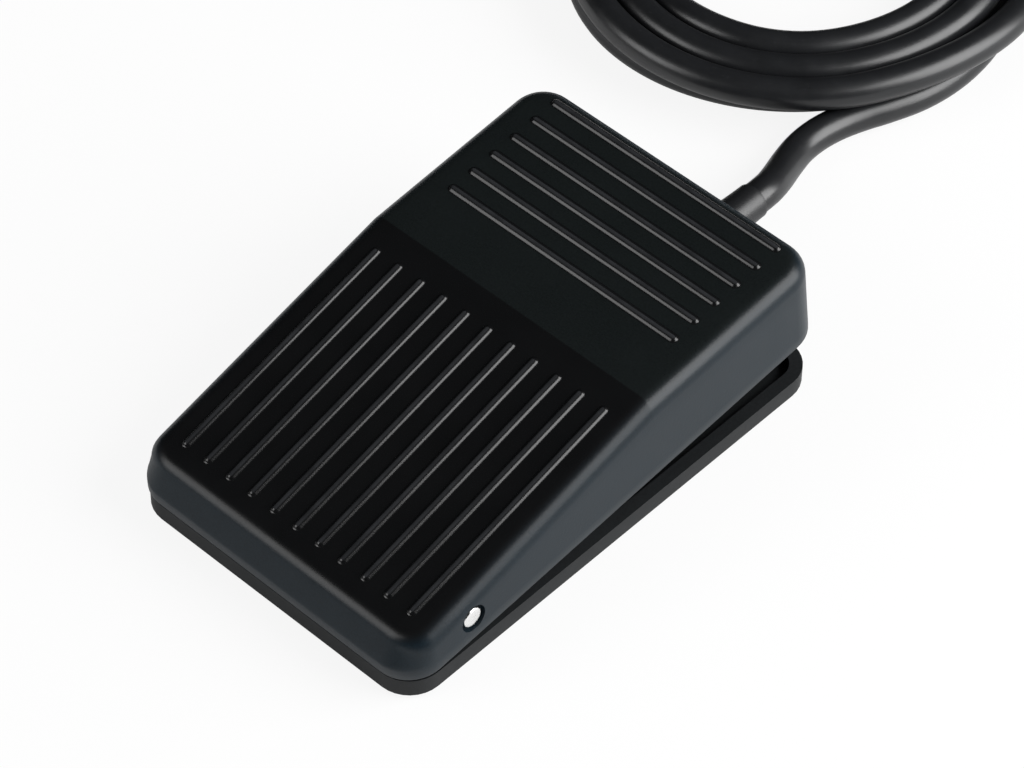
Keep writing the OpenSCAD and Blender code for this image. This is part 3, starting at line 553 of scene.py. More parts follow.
def moulded(name, colour, rough, grain=0.00028, depth=0.000006, blotch=0.011, gloss=0.5,
            tread=None, heel=None, tread_rough=0.0):
    """Moulded plastic: spark-eroded grain as fine noise and pits, blotches in the gloss, flow
    marks in the colour. Where the mark named tread is 1 the mould was polished and has no grain,
    and the colour is deeper; where the one named heel is 1 it has half its grain."""
    material, r = finish(name)
    where = r.place()
    fine = r.noise(where, grain, 3.0, 0.6)
    pits = r.span(r.specks(where, grain * 2.2), 0.05, 0.45)
    cloudy = r.noise(where, blotch, 3.0)
    flow = r.noise(r.place((1.0, 0.25, 1.0)), blotch * 0.35, 2.0)
    grained = fine * 0.65 + pits * 0.35
    speck = r.span(fine, 0.30, 0.72)
    roughness = rough + (cloudy - 0.5) * 0.10 + (fine - 0.5) * 0.12
    tone = r.mix(cloudy * 0.5 + flow * 0.5, times(colour, 0.75), times(colour, 1.3))
    tone = r.mix(speck * 0.4, tone, times(colour, 2.1))
    if tread:
        top, back = r.mark("tread"), r.mark("heel")
        grained = grained * (1 - top * (0.9 - back * 0.4))
        roughness = roughness + top * tread_rough
        deep = r.mix(cloudy, times(tread, 0.85), times(tread, 1.2))
        level = r.mix(speck * 0.5 + cloudy * 0.5, times(heel, 0.8), times(heel, 1.25))
        tone = r.mix(top, tone, r.mix(back, deep, level))
    r.surface({"Base Color": tone, "Roughness": roughness, "Normal": r.bump(grained, depth),
               "Specular IOR Level": gloss})
    return material


def ribs_worn_and_crest_lit(name, colour, rough):
    """The tread's plastic on the ribs: their crests are painted lighter, partly polish from soles and partly a
    painted highlight along each crest, with fine scuffs there.
    """
    material, r = finish(name)
    crest = r.span(r.mark("crest"), 0.78, 0.98)
    where = r.place()
    fine = r.noise(where, 0.0003, 3.0, 0.6)
    patches = r.noise(where, 0.004, 3.0)
    scuffs = r.span(r.noise(r.place((1.0, 0.12, 1.0), (0, 0, 0.5)), 0.00012, 2.0), 0.55, 0.75)
    polish_and_crest_highlight = crest * r.span(patches, 0.25, 0.7, 0.55, 1.0)
    # painted highlight: the crest band is lightened up to nine times, partly real polish and partly a painted
    # highlight along each rib
    tone = r.mix(polish_and_crest_highlight * 0.6 + scuffs * crest * 0.12, colour, times(colour, 9.0))
    roughness = rough + (fine - 0.5) * 0.02 - polish_and_crest_highlight * 0.03 + scuffs * crest * 0.03
    r.surface({"Base Color": tone, "Roughness": roughness,
               "Normal": r.bump(scuffs * crest, 0.0000006), "Specular IOR Level": 0.4})
    return material


def rubber(name, colour):
    """Moulded rubber: matt, with a talc bloom in its hollows and fine pores."""
    material, r = finish(name)
    where = r.place()
    pores = r.span(r.specks(where, 0.0007), 0.02, 0.3)
    bloom = r.noise(where, 0.003, 4.0, 0.6)
    fine = r.noise(where, 0.00025, 3.0)
    r.surface({"Base Color": r.mix(r.span(bloom, 0.35, 0.75), colour, times(colour, 4.0)),
               "Roughness": 0.78 + (bloom - 0.5) * 0.2,
               "Normal": r.bump(pores * 0.6 + fine * 0.4, 0.00002)})
    return material


def extruded(name, colour, rough, bloom=3.0):
    """Extruded insulation on a cord pulled straight: faint draw lines along it, slow swells, a
    satin skin with finger marks, and specks of dust."""
    material, r = finish(name)
    pulled = r.place(attribute="straight")
    lines = r.noise(r.place((1.0, 1.0, 0.02), attribute="straight"), 0.00035, 3.0, 0.55)
    swell = r.noise(pulled, 0.014, 2.0)
    skin_grain = r.noise(pulled, 0.00022, 3.0, 0.6)
    touched = r.noise(pulled, 0.006, 4.0, 0.65)
    dust = r.span(r.noise(pulled, 0.00045, 2.0), 0.66, 0.8)
    tone = r.mix(touched * 0.35 + dust * 0.5, times(colour, 0.85), times(colour, bloom))
    r.surface({"Base Color": tone,
               "Roughness": rough + (touched - 0.5) * 0.16 + (lines - 0.5) * 0.08 + dust * 0.2,
               "Normal": r.bump(lines * 0.5 + skin_grain * 0.3 + swell * 0.2, 0.000012)})
    return material


def metal(name, colour, rough, tarnish, lines=None, line_size=0.0001, line_depth=0.0000015,
          stain=0.003):
    """Bare metal: tool lines along one way, blotches of tarnish in its colour and gloss, and a
    few dull specks. lines is the scale that stretches the noise into lines."""
    material, r = finish(name)
    where = r.place()
    marks = r.noise(r.place(lines or (1, 1, 1)), line_size, 3.0, 0.6)
    blotches = r.noise(where, stain, 4.0, 0.6)
    dull = r.span(r.noise(where, stain * 0.2, 2.0), 0.62, 0.78)
    old = r.span(blotches, 0.42, 0.72)
    r.surface({"Base Color": r.mix(old * 0.6 + dull * 0.3, colour, tarnish), "Metallic": 1.0,
               "Roughness": rough + old * 0.14 + (marks - 0.5) * 0.16 + dull * 0.1,
               "Normal": r.bump(marks, line_depth)})
    return material


def faced(name, colour, rough, centre, tarnish):
    """Turned steel: rings about the axis of the pin on its ends and lines round its shank, from
    noise that is read at the distance from the axis."""
    material, r = finish(name)
    where = r.place(shift=tuple(-c for c in centre))
    parts = r.node("SeparateXYZ", sockets={0: where}, out="X")
    x, y, z = (Value(r, parts.socket.node.outputs[k]) for k in range(3))
    radius = (y * y + z * z) ** 0.5
    spot = r.node("CombineXYZ", sockets={"X": radius, "Y": x})
    rings = r.noise(spot, 0.00016, 3.0, 0.6)
    blotches = r.noise(where, 0.0012, 3.0)
    old = r.span(blotches, 0.45, 0.75)
    r.surface({"Base Color": r.mix(old * 0.2, colour, tarnish), "Metallic": 1.0,
               "Roughness": rough + (rings - 0.5) * 0.2 + old * 0.12,
               "Normal": r.bump(rings, 0.000003)})
    return material


MADE = {}


def material_for(slot):
    """The finish of a slot of the record, made once."""
    if slot in MADE:
        return MADE[slot]
    f = settings().finish
    makers = {
        "pedal_plastic": lambda: moulded("pedal_plastic", f.pedal, 0.36, grain=0.00034,
                                         depth=0.000014, gloss=0.25, tread=f.tread, heel=f.heel,
                                         tread_rough=-0.06),
        "pedal_ribs": lambda: ribs_worn_and_crest_lit("pedal_ribs", f.tread, 0.25),
        "base_plastic": lambda: moulded("base_plastic", f.base, 0.5, grain=0.00035, depth=0.00001,
                                        gloss=0.2),
        "rubber": lambda: rubber("rubber", f.rubber),
        "pin_steel": lambda: faced("pin_steel", f.steel, 0.24, PIN_AXIS, times(f.steel, 0.55)),
        "spring_steel": lambda: metal("spring_steel", f.spring, 0.3, times(f.spring, 0.5),
                                      (1, 1, 0.1)),
        "case_plastic": lambda: moulded("case_plastic", f.case, 0.42, grain=0.0002, depth=0.000004),
        "cover_plastic": lambda: moulded("cover_plastic", f.cover, 0.45, grain=0.0002,
                                         depth=0.000004),
        "plunger_plastic": lambda: moulded("plunger_plastic", f.plunger, 0.34, grain=0.00015,
                                           depth=0.000003),
        "lever_steel": lambda: metal("lever_steel", f.steel, 0.26, times(f.steel, 0.6),
                                     (1, 0.04, 1)),
        "brass": lambda: metal("brass", f.brass, 0.3, times(f.brass, 0.5), (1, 0.05, 1)),
        "contact_bronze": lambda: metal("contact_bronze", f.bronze, 0.28, times(f.bronze, 0.5),
                                        (1, 0.05, 1)),
        "screw_steel": lambda: metal("screw_steel", f.zinc, 0.3, (0.50, 0.47, 0.36), (1, 1, 1),
                                     line_size=0.0003),
        "cord_rubber": lambda: moulded("cord_rubber", f.jacket, 0.38, grain=0.0003, depth=0.000006),
        "cord_jacket": lambda: extruded("cord_jacket", f.jacket, 0.32),
        "core_brown": lambda: extruded("core_brown", f.brown, 0.36, 1.6),
        "core_blue": lambda: extruded("core_blue", f.blue, 0.36, 1.6),
        "core_black": lambda: extruded("core_black", f.black, 0.36, 2.0),
        "solder": lambda: metal("solder", f.solder, 0.22, times(f.solder, 0.55), None,
                                line_size=0.0006, line_depth=0.00001, stain=0.001),
        "tie_plastic": lambda: moulded("tie_plastic", f.case, 0.34, grain=0.0003, depth=0.000004),
        "copper": lambda: metal("copper", f.copper, 0.26, (0.30, 0.13, 0.07), (1, 1, 1),
                                line_size=0.0002, stain=0.002),
    }
    MADE[slot] = makers[slot]()
    return MADE[slot]


# ---------------------------------------------------------------- the pedal

ARC_STEPS = 9
EDGE_ROUND = 0.0004
BEND_ROUND = 0.0012
WALL_STEPS = 3


class PedalForm:
    """The pedal's form, fully down. Seen from above it is a round-cornered rectangle, and each
    point of that outline carries a profile from the tread over the edge and down to the skirt."""

    def __init__(self):
        p = self.p = settings().pedal
        self.slope = (p.heel_height - p.toe_height) / p.crease
        self.tilt = math.atan(self.slope)
        self.crease = p.front + p.crease
        self.rear = p.front + p.length
        self.rows()
        self.profiles()

    def tread(self, y):
        """Height of the tread: it rises from the toe edge to the crease and is level behind it."""
        return np.minimum(self.p.heel_height, self.p.toe_height + (y - self.p.front) * self.slope)

    def rows(self):
        """Right-hand half of the skirt's outline, from the toe to the rear: quarter circles joined
        by a straight side, closer together at the crease. Each point has its outward normal."""
        p, half, r = self.p, self.p.width / 2, self.p.corner
        front_y, rear_y = p.front + r, self.rear - r
        turn = np.linspace(-90, 0, 11)
        side = np.unique(np.concatenate([
            np.linspace(front_y, rear_y, 17)[1:-1],
            self.crease + np.array([-0.9, -0.5, -0.25, 0.0, 0.25, 0.5, 0.9]) * 0.001]))
        a = np.radians(np.concatenate([turn, np.zeros(len(side)), turn + 90]))
        centre = np.concatenate([np.full(11, front_y), side, np.full(11, rear_y)])
        self.right = np.stack([half - r + r * np.cos(a), centre + r * np.sin(a)], -1)
        self.right_normal = np.stack([np.cos(a), np.sin(a)], -1)

    def profiles(self):
        """Profiles as (inset, height) pairs: low ones count height from the skirt up, high ones
        count it from the tread down. The toe face is upright, bends back and meets the edge's
        arc; the other faces lean evenly. The inner profile is the same, one wall further in."""
        p = self.p
        c = p.corner - p.edge
        cy = p.front + p.corner + p.toe_lean - c * math.cos(self.tilt) + p.edge * math.sin(self.tilt)
        cz = (self.tread(p.front + p.corner + p.toe_lean) - c * math.sin(self.tilt)
              - p.edge * math.cos(self.tilt))
        bend_z = p.skirt + p.toe_bend
        dy, dz = cy - p.front, cz - bend_z
        far = math.hypot(dy, dz)
        lean = math.atan2(dz, dy) + math.asin(p.edge / far)
        self.face_angle = math.pi / 2 - lean
        tangent = BEND_ROUND * math.tan(self.face_angle / 2)
        skirt = np.array([[EDGE_ROUND, 0], [EDGE_ROUND * 0.3, EDGE_ROUND * 0.3], [0, EDGE_ROUND]])
        b = np.linspace(0, self.face_angle, 6)
        bend = np.stack([BEND_ROUND * (1 - np.cos(b)),
                         p.toe_bend - tangent + BEND_ROUND * np.sin(b)], -1)
        self.low_toe = np.vstack([skirt, bend])
        self.low_side = np.stack([np.concatenate([skirt[:, 0], np.zeros(6)]), self.low_toe[:, 1]], -1)
        inner = np.array([[p.wall - EDGE_ROUND, 0],
                          [p.wall - EDGE_ROUND * 0.3, EDGE_ROUND * 0.3], [p.wall, EDGE_ROUND]])
        drop = p.wall * math.tan(self.face_angle / 2)
        rise = np.linspace(-0.0005, 0.0005, 6)
        inner_bend = np.stack([p.wall + np.clip(rise, 0, 1) * math.tan(self.face_angle),
                               p.toe_bend - drop + rise], -1)
        self.inner_toe = np.vstack([inner, inner_bend])
        self.inner_side = np.stack([np.concatenate([inner[:, 0], np.full(6, p.wall)]),
                                    self.inner_toe[:, 1]], -1)
        self.high_toe, self.high_side = self.arcs(p.edge, cy, cz)
        self.ceiling_toe, self.ceiling_side = self.arcs(p.edge - p.wall, cy, cz)

    def arcs(self, radius, cy, cz):
        """The edge's arc at the toe and elsewhere: inset, and depth under the tread."""
        p = self.p
        a = np.linspace(self.face_angle, math.pi / 2 - self.tilt, ARC_STEPS)
        y, z = cy - radius * np.cos(a), cz + radius * np.sin(a)
        toe = np.stack([y - p.front, p.toe_height + (y - p.front) * self.slope - z], -1)
        a = np.linspace(0, math.pi / 2, ARC_STEPS)
        side = np.stack([p.lean + p.edge - radius * np.cos(a), p.edge - radius * np.sin(a)], -1)
        return toe, side

    def ring(self, low, high, outline, normal):
        """Profile points of each outline point, (n, k, 3): toe and side profiles are mixed by the
        square of the normal's forward part, so that they turn into each other round a corner."""
        p = self.p
        toe = np.where(normal[:, 1] < 0, normal[:, 1] ** 2, 0)[:, None, None]
        bottom = low[1] * (1 - toe) + low[0] * toe
        top = high[1] * (1 - toe) + high[0] * toe
        wall = self.tread(outline[:, 1]) - p.edge - p.skirt
        leaning = p.lean * (1 - toe[:, :, 0]) * np.clip(bottom[:, :, 1] / wall[:, None], 0, 1)

        def at(inset):
            return outline[:, None] - inset[..., None] * normal[:, None]

        xy = at(bottom[:, :, 0] + leaning)
        under = np.concatenate([xy, (p.skirt + bottom[:, :, 1])[..., None]], -1)
        xy = at(top[:, :, 0])
        over = np.concatenate([xy, (self.tread(xy[..., 1]) - top[:, :, 1])[..., None]], -1)
        t = (np.arange(1, WALL_STEPS + 1) / (WALL_STEPS + 1))[None, :, None]
        between = under[:, -1:] * (1 - t) + over[:, :1] * t
        return np.concatenate([under, between, over], 1)

    def loop(self):
        """The whole outline in the order of a grid's border: toe edge, right side, rear edge and
        left side."""
        u = np.linspace(-1, 1, 17)
        right, n = self.right, self.right_normal
        toe = np.stack([u * right[0, 0], np.full(17, right[0, 1])], -1)
        rear = np.stack([u[::-1] * right[-1, 0], np.full(17, right[-1, 1])], -1)
        flip = np.array([-1, 1])
        outline = np.vstack([toe, right[1:], rear[1:], (right * flip)[-2:0:-1]])
        normal = np.vstack([np.tile([0, -1.0], (17, 1)), n[1:], np.tile([0, 1.0], (16, 1)),
                            (n * flip)[-2:0:-1]])
        return outline, normal

    def sheet(self, toe, side):
        """A grid that closes the rings above or inside: rows across the pedal between the two
        ends of its border, which is the last of the toe's profile and of the side's."""
        share = np.where(self.right_normal[:, 1] < 0, self.right_normal[:, 1] ** 2, 0)[:, None]
        inset, depth = (side[-1, k] * (1 - share) + toe[-1, k] * share for k in (0, 1))
        end = self.right - inset * self.right_normal
        x = end[:, :1] * np.linspace(-1, 1, 17)
        y = np.broadcast_to(end[:, 1:], x.shape)
        return np.stack([x, y, self.tread(y) - depth], -1)


def pedal_shell(form):
    """The shell: outer profile, skirt and inner profile as rings round the outline, closed above
    by the tread and inside by the ceiling."""
    outline, normal = form.loop()
    outer = form.ring((form.low_toe, form.low_side), (form.high_toe, form.high_side),
                      outline, normal)
    inner = form.ring((form.inner_toe, form.inner_side), (form.ceiling_toe, form.ceiling_side),
                      outline, normal)
    rings = np.concatenate([outer[:, ::-1], inner], 1).transpose(1, 0, 2)
    top = form.sheet(form.high_toe, form.high_side)
    ceiling = form.sheet(form.ceiling_toe, form.ceiling_side)
    r, n = rings.shape[:2]
    return together([Shell(rings, lattice(r, n, False, True)[:, ::-1]),
                     Shell(top, lattice(*top.shape[:2])),
                     Shell(ceiling, lattice(*ceiling.shape[:2])[:, ::-1])]).outward()


def cut(obj, tools):
    """Cuts tools out of a piece, one after the other, and throws the tools away."""
    view = bpy.context.view_layer
    for tool in tools:
        step = obj.modifiers.new("cut", "BOOLEAN")
        step.operation, step.solver, step.object = "DIFFERENCE", "EXACT", tool
        view.update()
        shape = bpy.data.meshes.new_from_object(obj.evaluated_get(bpy.context.evaluated_depsgraph_get()))
        obj.modifiers.remove(step)
        old = obj.data
        obj.data = shape
        shape.name = old.name
        bpy.data.meshes.remove(old)
        bpy.data.objects.remove(tool)


def tool(shell):
    """A loose object that cut() takes away."""
    mesh = to_mesh("tool", shell)
    tidy(mesh)
    obj = bpy.data.objects.new("tool", mesh)
    bpy.context.scene.collection.objects.link(obj)
    return obj


def bar(outline, start, end, axis):
    """A straight bar: an outline (n, 2) carried along an axis from start to end. The outline's two
    numbers are Y and Z for a bar along X, X and Z along Y, and X and Y along Z."""
    k = "xyz".index(axis)
    ends = [np.insert(np.asarray(outline, float), k, at, axis=1) for at in (start, end)]
    return skin(np.stack(ends))


def eye_tool(side):
    """The bore through a side wall and its boss, with a wider eye on the outside."""
    half = settings().pedal.width / 2
    profile = [(PIN_PLAY_R, half - 0.006), (PIN_PLAY_R, half - EYE_DEPTH), (EYE_R, half - EYE_DEPTH),
               (EYE_R, half + 0.001)]
    return tool(skin(turned([(r, side * x) for r, x in profile],
                            (0, PIN_AXIS.y, PIN_AXIS.z), "x", 64)))


def relief_tool(side):
    """Room for a hinge lug of the base under the tread."""
    return tool(skin(turned([(LUG_R + 0.0003, side * x) for x in (LUG_IN - 0.0003, LUG_OUT + 0.0003)],
                            (0, PIN_AXIS.y, PIN_AXIS.z), "x", 64)))


def notch_tool(form):
    """The arched notch in the rear wall, over the gland."""
    z = settings().lead.gland_height
    half = arc((0, z), NOTCH_R, 0, 180, 33)
    outline = np.vstack([half, [(-NOTCH_R, 0.0), (NOTCH_R, 0.0)]])
    return tool(bar(outline, form.rear - 0.005, form.rear + 0.002, "y"))


def lug_sizes():
    """Where a hinge lug starts and ends along X, from the pedal's inner width."""
    p = settings().pedal
    out = p.width / 2 - p.wall - p.lean - 0.0024 - 0.0003
    return out - 0.004, out


EYE_R, EYE_DEPTH = 0.0026, 0.0013
PIN_PLAY_R = (PIN_HIGH.z - PIN_LOW.z) / 2 + 0.00008
LUG_R = (PIN_HIGH.z - PIN_LOW.z) / 2 + 0.0017
LUG_IN, LUG_OUT = 0.0238, 0.0278
NOTCH_R = 0.0076


def make_pedal():
    form = PedalForm()
    mesh = to_mesh("pedal_shell", pedal_shell(form))
    tidy(mesh)
    obj = bpy.data.objects.new("pedal_shell", mesh)
    bpy.context.scene.collection.objects.link(obj)
    cut(obj, [relief_tool(1), relief_tool(-1), eye_tool(1), eye_tool(-1), notch_tool(form)])
    mesh = obj.data
    co = np.zeros(len(mesh.vertices) * 3, np.float32)
    mesh.vertices.foreach_get("co", co)
    co = co.reshape(-1, 3).astype(float)
    depth = form.tread(co[:, 1]) - co[:, 2]
    put_mark(mesh, "tread", np.clip(1.15 - depth / 0.0008, 0, 1))
    put_mark(mesh, "heel", np.clip((co[:, 1] - form.crease) / 0.00025, 0, 1))
    mesh.vertices.foreach_set("co", raised(co).astype(np.float32).ravel())
    mesh.update()
    soften(mesh, 32)
    mesh.materials.clear()
    mesh.materials.append(material_for("pedal_plastic"))
    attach(obj, "pedal")
    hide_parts("pedal")


def rib(length):
    """A rib along +Y from 0 to its length, over z = 0: rings of a stadium, from its middle line
    underneath, out to a hollow foot and up a round flank to its crest. The mark crest is its
    height, 0 to 1."""
    t = settings().tread
    half, h = t.width / 2, t.height
    flank_r = (half ** 2 + h ** 2) / (2 * h)
    steep = math.asin(half / flank_r)
    a = np.linspace(steep * 0.86, 0, 9)
    flank = np.stack([flank_r * np.sin(a), h - flank_r * (1 - np.cos(a))], -1)
    foot = 0.0002
    low = np.array([[0, -0.0003], [half + foot, -0.0003], [half + foot, 0.0],
                    [half + foot * 0.45, 0.00002], [half + foot * 0.1, 0.00007]])
    profile = np.vstack([low, flank])
    n = 10
    end = np.radians(np.linspace(0, 180, n))
    loop_x = np.concatenate([np.cos(end), -np.cos(end)])
    loop_y = np.concatenate([np.sin(end), -np.sin(end)])
    middle = np.concatenate([np.full(n, length - half), np.full(n, half)])
    r = profile[:, :1]
    rings = np.stack([r * loop_x, middle + r * loop_y, np.broadcast_to(profile[:, 1:], (len(r), 2 * n))],
                     -1)
    crest = np.broadcast_to(np.clip(profile[:, 1:] / h, 0, 1), rings.shape[:2])
    return Shell(rings, lattice(*rings.shape[:2], False, True), marks={"crest": crest.reshape(-1, 1)}
                 ).outward()


def moved(shell, turn_about_x=0.0, turn_about_z=0.0, to=(0, 0, 0)):
    """A shell turned about Z, then about X, then moved."""
    m = Matrix.Rotation(turn_about_x, 3, "X") @ Matrix.Rotation(turn_about_z, 3, "Z")
    return Shell(shell.points @ np.array(m).T + np.asarray(to, float), shell.quads, shell.tris,
                 shell.marks)


def make_ribs():
    t, form = settings().tread, PedalForm()
    p = form.p
    along = rib(t.toe_end - t.toe_start)
    across = rib(t.heel_length)
    out = t.toe_start * np.array([math.cos(form.tilt), math.sin(form.tilt)])
    shells = [moved(along, form.tilt, 0, ((i - (t.toe_ribs - 1) / 2) * t.toe_pitch,
                                          p.front + out[0], p.toe_height + out[1]))
              for i in range(t.toe_ribs)]
    shells += [moved(across, 0, -math.pi / 2, (-t.heel_length / 2,
                                               form.rear - t.heel_rear - i * t.heel_pitch,
                                               p.heel_height))
               for i in range(t.heel_ribs)]
    for s in shells:
        s.points = raised(s.points)
    piece("tread_ribs", shells, material_for("pedal_ribs"), "pedal", sharp=50)


def rounded_box(low, high, r):
    """Outline of a rectangle with round corners, from its lowest and highest corner."""
    (x0, y0), (x1, y1) = low, high
    return np.vstack([arc((x1 - r, y0 + r), r, -90, 0, 4), arc((x1 - r, y1 - r), r, 0, 90, 4),
                      arc((x0 + r, y1 - r), r, 90, 180, 4), arc((x0 + r, y0 + r), r, 180, 270, 4)])


def make_under_pedal():
    form = PedalForm()
    p = form.p
    root = 0.0006
    ceiling = p.heel_height - p.wall
    shells = []
    for side in (-1, 1):
        ring = [(PIN_PLAY_R, 0.0281), (0.0039, 0.0281), (0.0042, 0.0284), (0.0042, 0.0311),
                (PIN_PLAY_R, 0.0311)]
        shells.append(skin(turned([(r, side * x) for r, x in ring], (0, PIN_AXIS.y, PIN_AXIS.z), "x",
                                  48), closed=True))
        y = np.unique(np.concatenate([np.linspace(p.front + 0.0276, form.rear - 0.008, 15),
                                      [form.crease]]))
        top = form.tread(y) - p.wall
        section = rounded_box((-0.0007, -0.0024), (0.0007, root), 0.0003)
        x = np.broadcast_to(side * 0.0119 + section[:, 0], (len(y), len(section)))
        rings = np.stack([x, np.broadcast_to(y[:, None], x.shape), top[:, None] + section[:, 1]], -1)
        shells.append(skin(rings))
        tip = arc((0.0024925 - 0.0006, 0.0006), 0.0006, -90, 0, 4)
        shells.append(skin(turned(np.vstack([[(0.0006, 0)], tip, [(0.0024925, 0.0036)]]),
                                  (side * 0.019, 0.0195075, ceiling - 0.003), "z", 32)))
    a = np.radians(np.linspace(2, 70, 10))
    dome = np.stack([0.004 * np.sin(a), 0.004 * (1 - np.cos(a))], -1)
    dome = np.vstack([dome, [(dome[-1, 0], ceiling + root - NUB_Z)]])
    shells.append(skin(turned(dome, (0, PRESS_Y, NUB_Z), "z", 40)))
    for s in shells:
        s.points = raised(s.points)
    piece("pedal_underside", shells, material_for("pedal_plastic"), "pedal")


PRESS_Y, NUB_Z = 0.0278, 0.02035


# ---------------------------------------------------------------- base, pin, feet and springs

def merged_copy(node, name):
    """A copy of a node of the frame with its loose triangles joined and its flats made whole."""
    obj = NODES[node].copy()
    obj.data = NODES[node].data.copy()
    obj.name, obj.data.name = name, name
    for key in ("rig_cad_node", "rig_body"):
        if key in obj:
            del obj[key]
    obj.parent = None
    bpy.context.scene.collection.objects.link(obj)
    work = bmesh.new()
    work.from_mesh(obj.data)
    bmesh.ops.remove_doubles(work, verts=work.verts, dist=MERGE)
    bmesh.ops.dissolve_degenerate(work, dist=MERGE, edges=work.edges)
    bmesh.ops.dissolve_limit(work, angle_limit=math.radians(0.6), verts=work.verts, edges=work.edges)
    work.to_mesh(obj.data)
    work.free()
    return obj


def make_base():
    obj = merged_copy("base_tray", "base_moulding")
    obj.data.materials.clear()
    obj.data.materials.append(material_for("base_plastic"))
    soften(obj.data, 28)
    edge = obj.modifiers.new("edge", "BEVEL")
    edge.width, edge.segments, edge.limit_method = 0.00022, 2, "ANGLE"
    edge.angle_limit = math.radians(50)
    edge.harden_normals = False
    edge.use_clamp_overlap = True
    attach(obj, "base")
    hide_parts("base_tray")


def make_pin():
    r, half, edge = (PIN_HIGH.z - PIN_LOW.z) / 2, PIN_HIGH.x, 0.0004
    rim = arc((r - edge, half - edge), edge, 0, 90, 5)
    right = np.vstack([[(r, x) for x in np.linspace(0, half - edge, 12)], rim[1:],
                       [(r * 0.5, half + 0.0), (r * 0.2, half)]])
    profile = np.vstack([(right * (1, -1))[::-1], right[1:]])
    piece("hinge_pin_turned", [skin(turned(profile, (0, PIN_AXIS.y, PIN_AXIS.z), "x", 64))],
          material_for("pin_steel"), "base", ["hinge_pin"])


def make_feet():
    top = FEET_HIGH.z
    shells = []
    r = 0.005
    profile = np.vstack([[(0.0012, 0.00025), (r * 0.55, 0.0002), (r * 0.66, 0.0)],
                         arc((r - 0.0003, 0.0003), 0.0003, -90, 0, 5), [(r, top - 0.0002),
                                                                       (r - 0.0002, top)]])
    x, y = FEET_HIGH.x - r, FEET_HIGH.y - r
    for sx in (-1, 1):
        for sy in (-1, 1):
            shells.append(skin(turned(profile, (sx * x, sy * y, 0), "z", 48)))
    piece("feet", shells, material_for("rubber"), "base", ["rubber_feet"])


def make_springs():
    """Each spring is a wire along a helix: its height follows the turns, closed at both ends."""
    low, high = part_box("return_springs")
    wire, turns, flat, closed = 0.0009, 6, 0.75, 0.001
    r = 0.00405
    length = high.z - low.z
    t = np.linspace(0, turns, turns * 28 + 1)
    rise = length - wire
    end = closed * flat
    height = np.where(t < flat, closed * t,
                      np.where(t > turns - flat, rise - closed * (turns - t),
                               end + (t - flat) / (turns - 2 * flat) * (rise - 2 * end)))
    a = 2 * np.pi * t
    shells = []
    for x in (-1, 1):
        path = np.stack([x * 0.019 + r * np.cos(a), 0.019 + r * np.sin(a),
                         low.z + wire / 2 + height], -1)
        shells.append(tube(path, wire / 2, 12, rounded=0.00012))
    obj = piece("springs_wound", shells, material_for("spring_steel"), "base",
                ["return_springs"])
    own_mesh(obj)


# ---------------------------------------------------------------- the lead

LEAD_POINTS = [(0, 0, 7.2), (0, 2, 7.2), (-0.5, 5, 6.6), (-1.9, 9, 5.3), (-3.8, 14, 3.9),
               (-5.1, 19, 3.2), (-5.2, 24, 3.1), (-4.3, 29, 3.1), (-2.6, 34, 3.1), (-0.9, 38, 3.1)]
COIL_STEP = 10
COIL_START, COIL_END, TAIL_END = -24, 1876, 166


def ease(at, start, end):
    """0 before start, 1 after end, and half a cosine wave in between."""
    return (1 - np.cos(np.pi * np.clip((at - start) / (end - start), 0, 1))) / 2


def coil_line(angle):
    """Where the coil's cord runs at an angle in degrees, counted on from turn to turn: three turns
    inwards on the floor, a climb onto them, turns outwards on top, and down beside them again.
    Each radius is the outer one less one diameter for each ease inwards, and so on."""
    lead = settings().lead
    d, r0 = lead.diameter, lead.coil_radius
    slot = (r0 + d - d * ease(angle, 210, 320) - d * ease(angle, 570, 680)
            + d * ease(angle, 1046, 1156) + d * ease(angle, 1406, 1516))
    up = ease(angle, 898, 1008)
    leaving = ease(angle, 1772, 1876) * math.pi / 2
    radius = slot + (d + 0.0002) * np.sin(leaving)
    height = d / 2 + d * up * np.cos(leaving)
    near_tie = (angle - TIE_ANGLE + 180) % 360 - 180
    height = height + TIE_T * (1 - ease(np.abs(near_tie), 6, 30)) * (angle < 1872)
    return radius, height


TIE_ANGLE, TIE_T, TIE_W = 215, 0.0009, 0.005


def lead_line():
    """The lead's route: the points from the strain relief to the coil, then the coil and the tail
    beside it, as one smooth curve."""
    lead = settings().lead
    relief_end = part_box("strain_relief")[1].y
    first = np.array(LEAD_POINTS) * 0.001 + np.array([0, relief_end, 0])
    angle = np.arange(COIL_START, COIL_END + 1, COIL_STEP, dtype=float)[0:]
    radius, height = coil_line(angle)
    tail = np.arange(COIL_END % 360 + 6.0, TAIL_END + 1, 6)
    radius = np.concatenate([radius, np.full(len(tail), radius[-1])])
    height = np.concatenate([height, np.full(len(tail), lead.diameter / 2)])
    a = np.radians(np.concatenate([angle, tail]))
    wound = np.stack([lead.coil_x + radius * np.cos(a), lead.coil_y + radius * np.sin(a), height], -1)
    return np.vstack([first, wound[1:]])


def core_line(i, start, end, line):
    """Core i past the end of the jacket, from one distance to another: it leaves its third of the
    sheath and eases down and out to its place in the fan."""
    lead = settings().lead
    tip, way = line[-1], line[-1] - line[-2]
    way /= np.linalg.norm(way)
    side = np.array([way[1], -way[0], 0])
    turn_at = math.radians(90 + 120 * i)
    d = np.linspace(start, end, 15)
    f = ease(d, 0, lead.core_tail)[:, None]
    out, core_out = lead.fan * (0, -1, 1)[i], lead.core * 0.6
    return (tip + d[:, None] * way + ((1 - f) * core_out * math.cos(turn_at) + f * out) * side
            + ((1 - f) * core_out * math.sin(turn_at)
               - f * (lead.diameter - lead.core) / 2) * np.array([0, 0, 1]))


